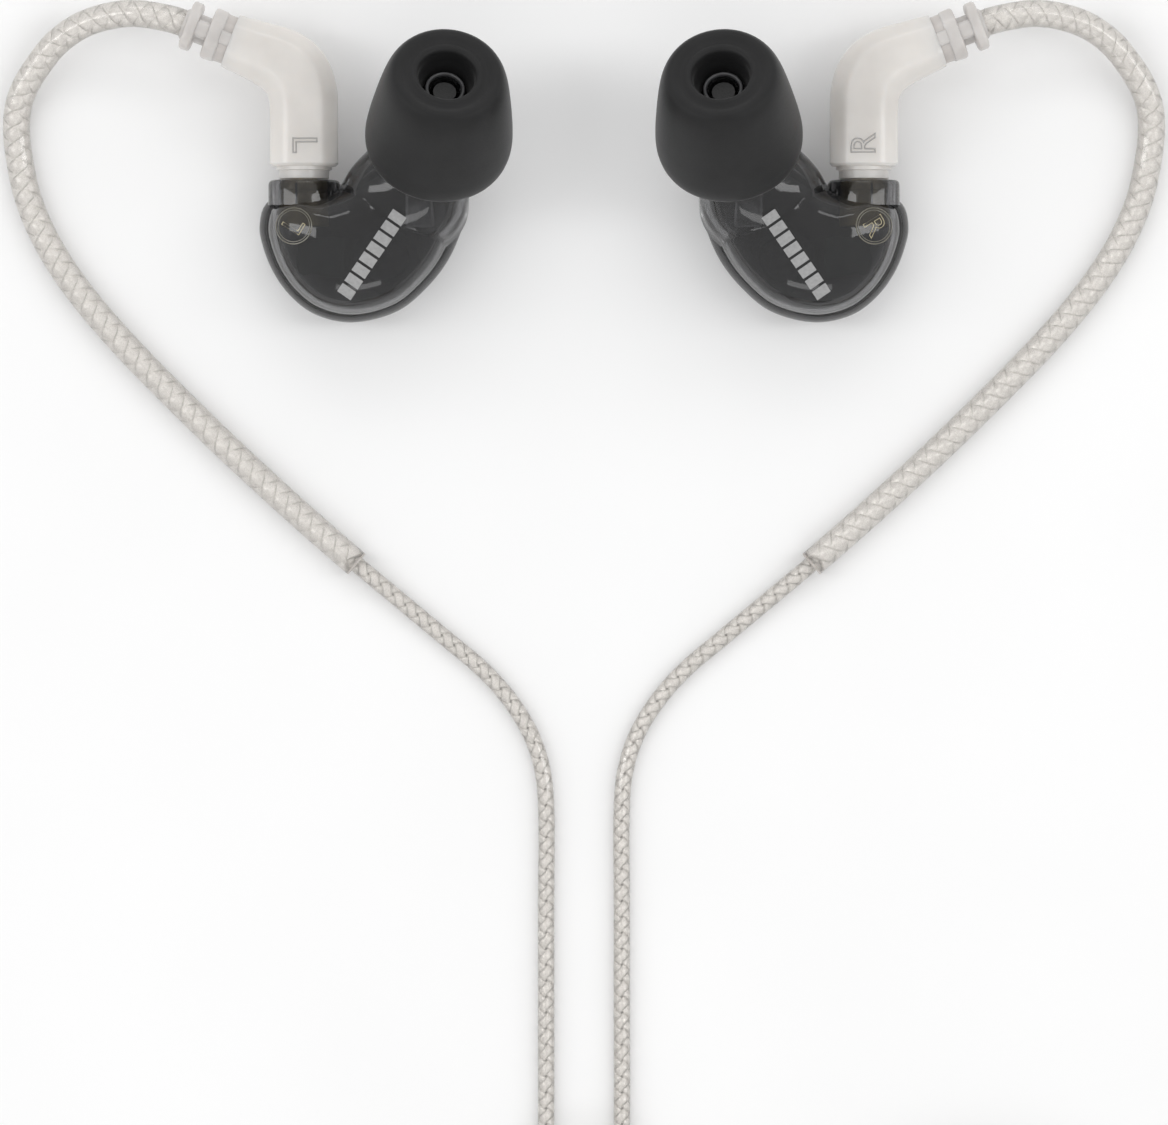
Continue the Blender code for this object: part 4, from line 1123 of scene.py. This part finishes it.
def make_hook(side, look):
    line = hook_line(side, 0.2, 0)
    sleeve = tube(f"{side}_clear_sleeve", line, SLEEVE_RADIUS * MM, look["sleeve"], 40)
    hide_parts(f"{side}_hook_sleeve")
    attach(sleeve, "cable")
    inside = hook_line(side, 1.2, -0.3)
    strands = plait(
        f"{side}_hook_strands", inside, SLEEVE_STRANDS_RADIUS * MM, LEAD_PITCH * MM, look["wire"]
    )
    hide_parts(f"{side}_hook_lead")
    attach(strands, "cable")
    outward = tuple(line[-1] - line[-2])
    edge = turned(f"{side}_sleeve_edge", SLEEVE_EDGE, line[-1], outward, look["window"], 48)
    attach(edge, "cable")


# What is on the cable ----------------------------------------------------------------------


SLOT_X = 3.44 * MM
SLOT_RADIUS = 1.06 * MM
SLOT_HEIGHT = 0.7 * MM


def make_slider(look):
    """The clip over both leads, with its long edges rounded and a thumb groove across its top."""
    low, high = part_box("cable_slider")
    width, depth, top = (high.x - low.x) / 2, high.y - low.y, high.z - low.z
    outline = [(-width, 0.0)]
    for slot_x in (-SLOT_X, SLOT_X):
        for i in range(25):
            turn = math.pi * (1 - i / 24)
            c, s = math.cos(turn), math.sin(turn)
            outline.append((slot_x + SLOT_RADIUS * c, SLOT_HEIGHT + SLOT_RADIUS * s))
            if i == 0:
                outline.insert(-1, (slot_x - SLOT_RADIUS, 0.0))
        outline.append((slot_x + SLOT_RADIUS, 0.0))
    outline.append((width, 0.0))
    for i in range(33):
        turn = math.pi * i / 32
        c, s = math.cos(turn), math.sin(turn)
        outline.append((width * math.copysign(abs(c) ** 0.45, c), top * 0.45 + top * 0.55 * s ** 0.6))
    rows = 24
    points, faces = [], []
    count = len(outline)
    for r in range(rows + 1):
        share = r / rows
        groove = 0.22 * MM * (0.5 - 0.5 * math.cos(2 * math.pi * 4 * share)) if 0.12 < share < 0.88 else 0.0
        edge = min(share, 1 - share) * depth
        pull = 0.35 * MM * max(0.0, 1 - edge / (0.5 * MM)) ** 2
        for x, z in outline:
            lift = z
            if z > top * 0.75:
                lift = z - groove * (z / top - 0.75) / 0.25 - pull
            side_pull = pull if abs(x) > width * 0.9 else 0.0
            points.append((x - math.copysign(side_pull, x), low.y + depth * share, low.z + lift))
    faces = ring_faces(rows + 1, count)
    faces.append(tuple(range(count)))
    faces.append(tuple(range(rows * count, (rows + 1) * count)))
    slider = mesh_object("slider_clip", points, faces, look["milky"], 35)
    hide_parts("cable_slider")
    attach(slider, "slider")


def make_splitter(look):
    low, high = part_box("splitter")
    middle = (low + high) / 2
    sections = spaced(curve_through([
        (0.0, 2.0, 1.75), (0.25, 2.45, 2.1), (1.0, 2.6, 2.2), (4.0, 2.55, 2.2), (6.4, 2.4, 2.15),
        (8.6, 1.85, 1.8), (9.6, 1.62, 1.6), (10.0, 1.4, 1.4),
    ], fine=8), 46)
    rings = []
    for n, (step, half_width, half_height) in enumerate(sections):
        groove = 0.12 if 2.0 < step < 6.0 and n % 4 < 2 else 0.0
        ring = []
        for c, s in circle(64):
            grow = (abs(c) ** 3 + abs(s) ** 3) ** (-1 / 3)
            ring.append((
                low.x + step * MM, middle.y + (half_width - groove) * grow * c * MM,
                middle.z + (half_height - groove) * grow * s * MM,
            ))
        rings.append(ring)
    body = loft("splitter_body", rings, look["milky"], 50)
    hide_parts("splitter")
    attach(body, "cable")
    return body


def strap_ring(x, z, half_x, half_z, grow):
    """A rounded rectangle in X and Z."""
    ring = []
    for c, s in circle(72):
        reach = (abs(c) ** 8 + abs(s) ** 8) ** (-1 / 8)
        ring.append((x + (half_x + grow) * reach * c, z + (half_z + grow) * reach * s))
    return ring


def make_tie(node, look):
    """A woven strap closed round a coil, its free end lapped over the top."""
    low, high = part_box(node)
    middle = (low + high) / 2
    half_x, half_z = (high.x - low.x) / 2 - 0.35 * MM, (high.z - low.z) / 2 - 0.35 * MM
    half_width = (high.y - low.y) / 2
    inner = strap_ring(middle.x, middle.z, half_x, half_z, 0.0)
    outer = strap_ring(middle.x, middle.z, half_x, half_z, 0.33 * MM)
    points = []
    for ring, inset in ((inner, 0.0), (outer, 0.05 * MM)):
        for y in (middle.y - half_width + inset, middle.y + half_width - inset):
            points += [(x, y, z) for x, z in ring]
    count = len(inner)
    faces = []
    order = [0, 1, 3, 2]
    for a, b in zip(order, order[1:] + order[:1]):
        for i in range(count):
            j = (i + 1) % count
            faces.append((a * count + i, a * count + j, b * count + j, b * count + i))
    strap = mesh_object(node + "_strap", points, faces, look["strap"], 50)
    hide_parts(node)
    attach(strap, "cable")
    lap = []
    for i in range(25):
        share = i / 24
        x = middle.x - half_x * 0.6 + 1.2 * half_x * share
        z = high.z - 0.04 * MM + 0.22 * MM * (1 - share ** 6)
        lap.append((x, z))
    points = []
    for y in (middle.y - half_width * 0.92, middle.y + half_width * 0.92):
        points += [(x, y, z) for x, z in lap]
        points += [(x, y, z - 0.2 * MM) for x, z in reversed(lap)]
    count = len(lap) * 2
    faces = [tuple(range(count)), tuple(range(count, 2 * count))] + ring_faces(2, count)
    tab = mesh_object(node + "_lap", points, faces, look["strap"], 50)
    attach(tab, "cable")


def make_jack_plug(look):
    """The 3.5 mm plug. Heights count from the cord's end of its relief, along -X."""
    low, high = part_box("plug_relief")
    origin = (high.x, (low.y + high.y) / 2, (low.z + high.z) / 2)
    ribs = [(0.0, 0.0), (1.2, 0.0), (1.42, 0.3)]
    for k in range(9):
        at = 0.6 + 0.62 * k
        body = 1.45 + 0.03 * k
        ribs += [(body + 0.1, at), (body + 0.1, at + 0.34), (body - 0.08, at + 0.4), (body - 0.08, at + 0.56)]
    ribs += [(2.0, 6.5), (2.1, 6.7), (2.1, 7.7), (0.0, 7.7)]
    shell = [(0.0, 8.0), (2.3, 8.0), (2.55, 8.2), (2.8, 8.7), (2.92, 10.2), (3.0, 12.0), (2.82, 12.1),
             (2.82, 12.35), (3.0, 12.45), (2.98, 18.0), (2.82, 18.1), (2.82, 18.35), (2.97, 18.45),
             (2.92, 19.9), (2.8, 20.25), (2.6, 20.4), (0.0, 20.4)]
    sleeve = [(0.0, 20.7), (2.3, 20.7), (2.4, 20.8), (2.4, 21.1), (2.32, 21.2), (1.75, 21.2), (1.75, 26.15),
              (1.7, 26.2), (0.0, 26.2)]
    ring = [(0.0, 27.4), (1.7, 27.4), (1.75, 27.45), (1.75, 29.15), (1.7, 29.2), (0.0, 29.2)]
    tip = [(0.0, 30.4), (1.68, 30.4), (1.72, 30.45), (1.7, 30.6), (1.4, 30.95), (1.26, 31.3), (1.36, 31.75),
           (1.62, 32.15), (1.64, 32.3), (1.5, 32.7), (1.1, 33.5), (0.75, 34.05), (0.5, 34.3), (0.25, 34.38),
           (0.0, 34.4)]
    made = []
    for node, profile, material, slot in (
        ("plug_relief", ribs, look["relief"], "relief_rubber"),
        ("plug_shell", shell, look["milky"], "milky_plastic"),
        ("plug_sleeve", sleeve, look["gold"], "plug_gold"),
        ("plug_rear_insulator", [(0.0, 26.25), (1.7, 26.25), (1.7, 27.35), (0.0, 27.35)], look["ceramic"],
         "white_insulator"),
        ("plug_ring", ring, look["gold"], "plug_gold"),
        ("plug_front_insulator", [(0.0, 29.25), (1.7, 29.25), (1.7, 30.35), (0.0, 30.35)], look["ceramic"],
         "white_insulator"),
        ("plug_tip", tip, look["gold"], "plug_gold"),
    ):
        piece = turned("fine_" + node, profile, origin, (-1, 0, 0), material, 96, 30)
        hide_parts(node)
        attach(piece, "cable")
        made.append(piece)
    return made


# Whole -------------------------------------------------------------------------------------


def make_look():
    return {
        "smoke": smoke_plastic(),
        "mark": moulded_mark(),
        "mark_line": metal("mark_line", (0.42, 0.37, 0.24), (0.58, 0.52, 0.36), (0.3, 0.45)),
        "ink": printed_ink(),
        "brass": metal("socket_brass", (0.40, 0.32, 0.18), (0.54, 0.45, 0.27), (0.4, 0.55), metallic=0.55),
        "silicone": black_silicone(),
        "milky": milky_plastic(),
        # A darker milky plastic for the connector's letter: painted shade of its raised outline.
        "milky_letter_shade": milky_plastic("milky_painted_shade", (0.56, 0.54, 0.51), (0.64, 0.61, 0.58)),
        "relief": relief_rubber(),
        "window": relief_rubber("window_rubber", (0.50, 0.465, 0.44), (0.60, 0.565, 0.54)),
        "sleeve": clear_plastic("clear_sleeve", (0.89, 0.872, 0.85), (0.97, 0.96, 0.95), 0.90, 0.05),
        "jacket": clear_plastic("clear_jacket", (0.90, 0.88, 0.855), (0.95, 0.94, 0.93), 0.92, 0.05),
        "wire": (strand_wire(), opaque("strand_core", (0.44, 0.42, 0.40), (0.54, 0.52, 0.50))),
        "strap": woven_strap(),
        "gold": metal("plug_gold", (0.75, 0.52, 0.20), (0.92, 0.72, 0.36), (0.12, 0.22)),
        "ceramic": opaque("plug_insulator", (0.02, 0.02, 0.02), (0.05, 0.05, 0.05), (0.3, 0.4)),
        "white": opaque("white_insulator", (0.72, 0.71, 0.68), (0.82, 0.81, 0.78)),
        "can": metal("driver_can", (0.05, 0.05, 0.055), (0.12, 0.12, 0.13), (0.3, 0.45)),
        "steel": metal("drawn_steel", (0.42, 0.42, 0.42), (0.60, 0.60, 0.60), (0.25, 0.4)),
        "board": opaque("board_laminate", (0.02, 0.032, 0.026), (0.035, 0.055, 0.045)),
        "screen": opaque("nozzle_mesh", (0.004, 0.004, 0.004), (0.02, 0.02, 0.02), (0.4, 0.5), 6000),
        "seam": opaque("seam_lip", (0.07, 0.07, 0.072), (0.11, 0.11, 0.113), (0.4, 0.5), 700),
        # Near black painted shade, for the socket ring's slit and the band in the shells' seam.
        "black_shade": opaque("painted_shade_black", (0.002, 0.002, 0.002), (0.006, 0.006, 0.006)),
        "rim": opaque("nozzle_rim", (0.05, 0.05, 0.052), (0.08, 0.08, 0.083), (0.3, 0.4)),
    }


KEPT_NODES = {
    "jack_insulator": ("white", "white_insulator"), "jack_contact": ("brass", "jack_brass"),
    "dynamic_driver": ("can", "driver_metal"), "armature_driver": ("steel", "driver_steel"),
    "crossover_board": ("board", "board_laminate"), "nozzle_screen": ("screen", "driver_steel"),
    "snap_ring": ("steel", "driver_steel"), "plug_barrel": ("brass", "jack_brass"),
    "plug_pin": ("brass", "jack_brass"), "plug_insulator": ("white", "white_insulator"),
}


def dress_kept_nodes(look):
    for side in SIDES:
        for part, (material, slot) in KEPT_NODES.items():
            node = frame["nodes"][f"{side}_{part}"]
            node.data.materials.clear()
            node.data.materials.append(look[material])


def main():
    scene = bpy.context.scene
    scene.view_settings.view_transform = "Standard"
    make_camera()
    make_floor()
    make_lights()
    look = make_look()
    splitter = make_splitter(look)
    plug = make_jack_plug(look)
    make_cords(look)
    for side in SIDES:
        upper = make_shells(side, look)
        make_marks(side, upper, look)
        make_jack(side, look)
        make_ear_tip(side, look)
        make_nozzle_rim(side, look)
        make_connector(side, look)
        make_strain_relief(side, look)
        make_hook(side, look)
    make_slider(look)
    for node in ("leads_tie", "main_tie"):
        make_tie(node, look)
    dress_kept_nodes(look)


main()
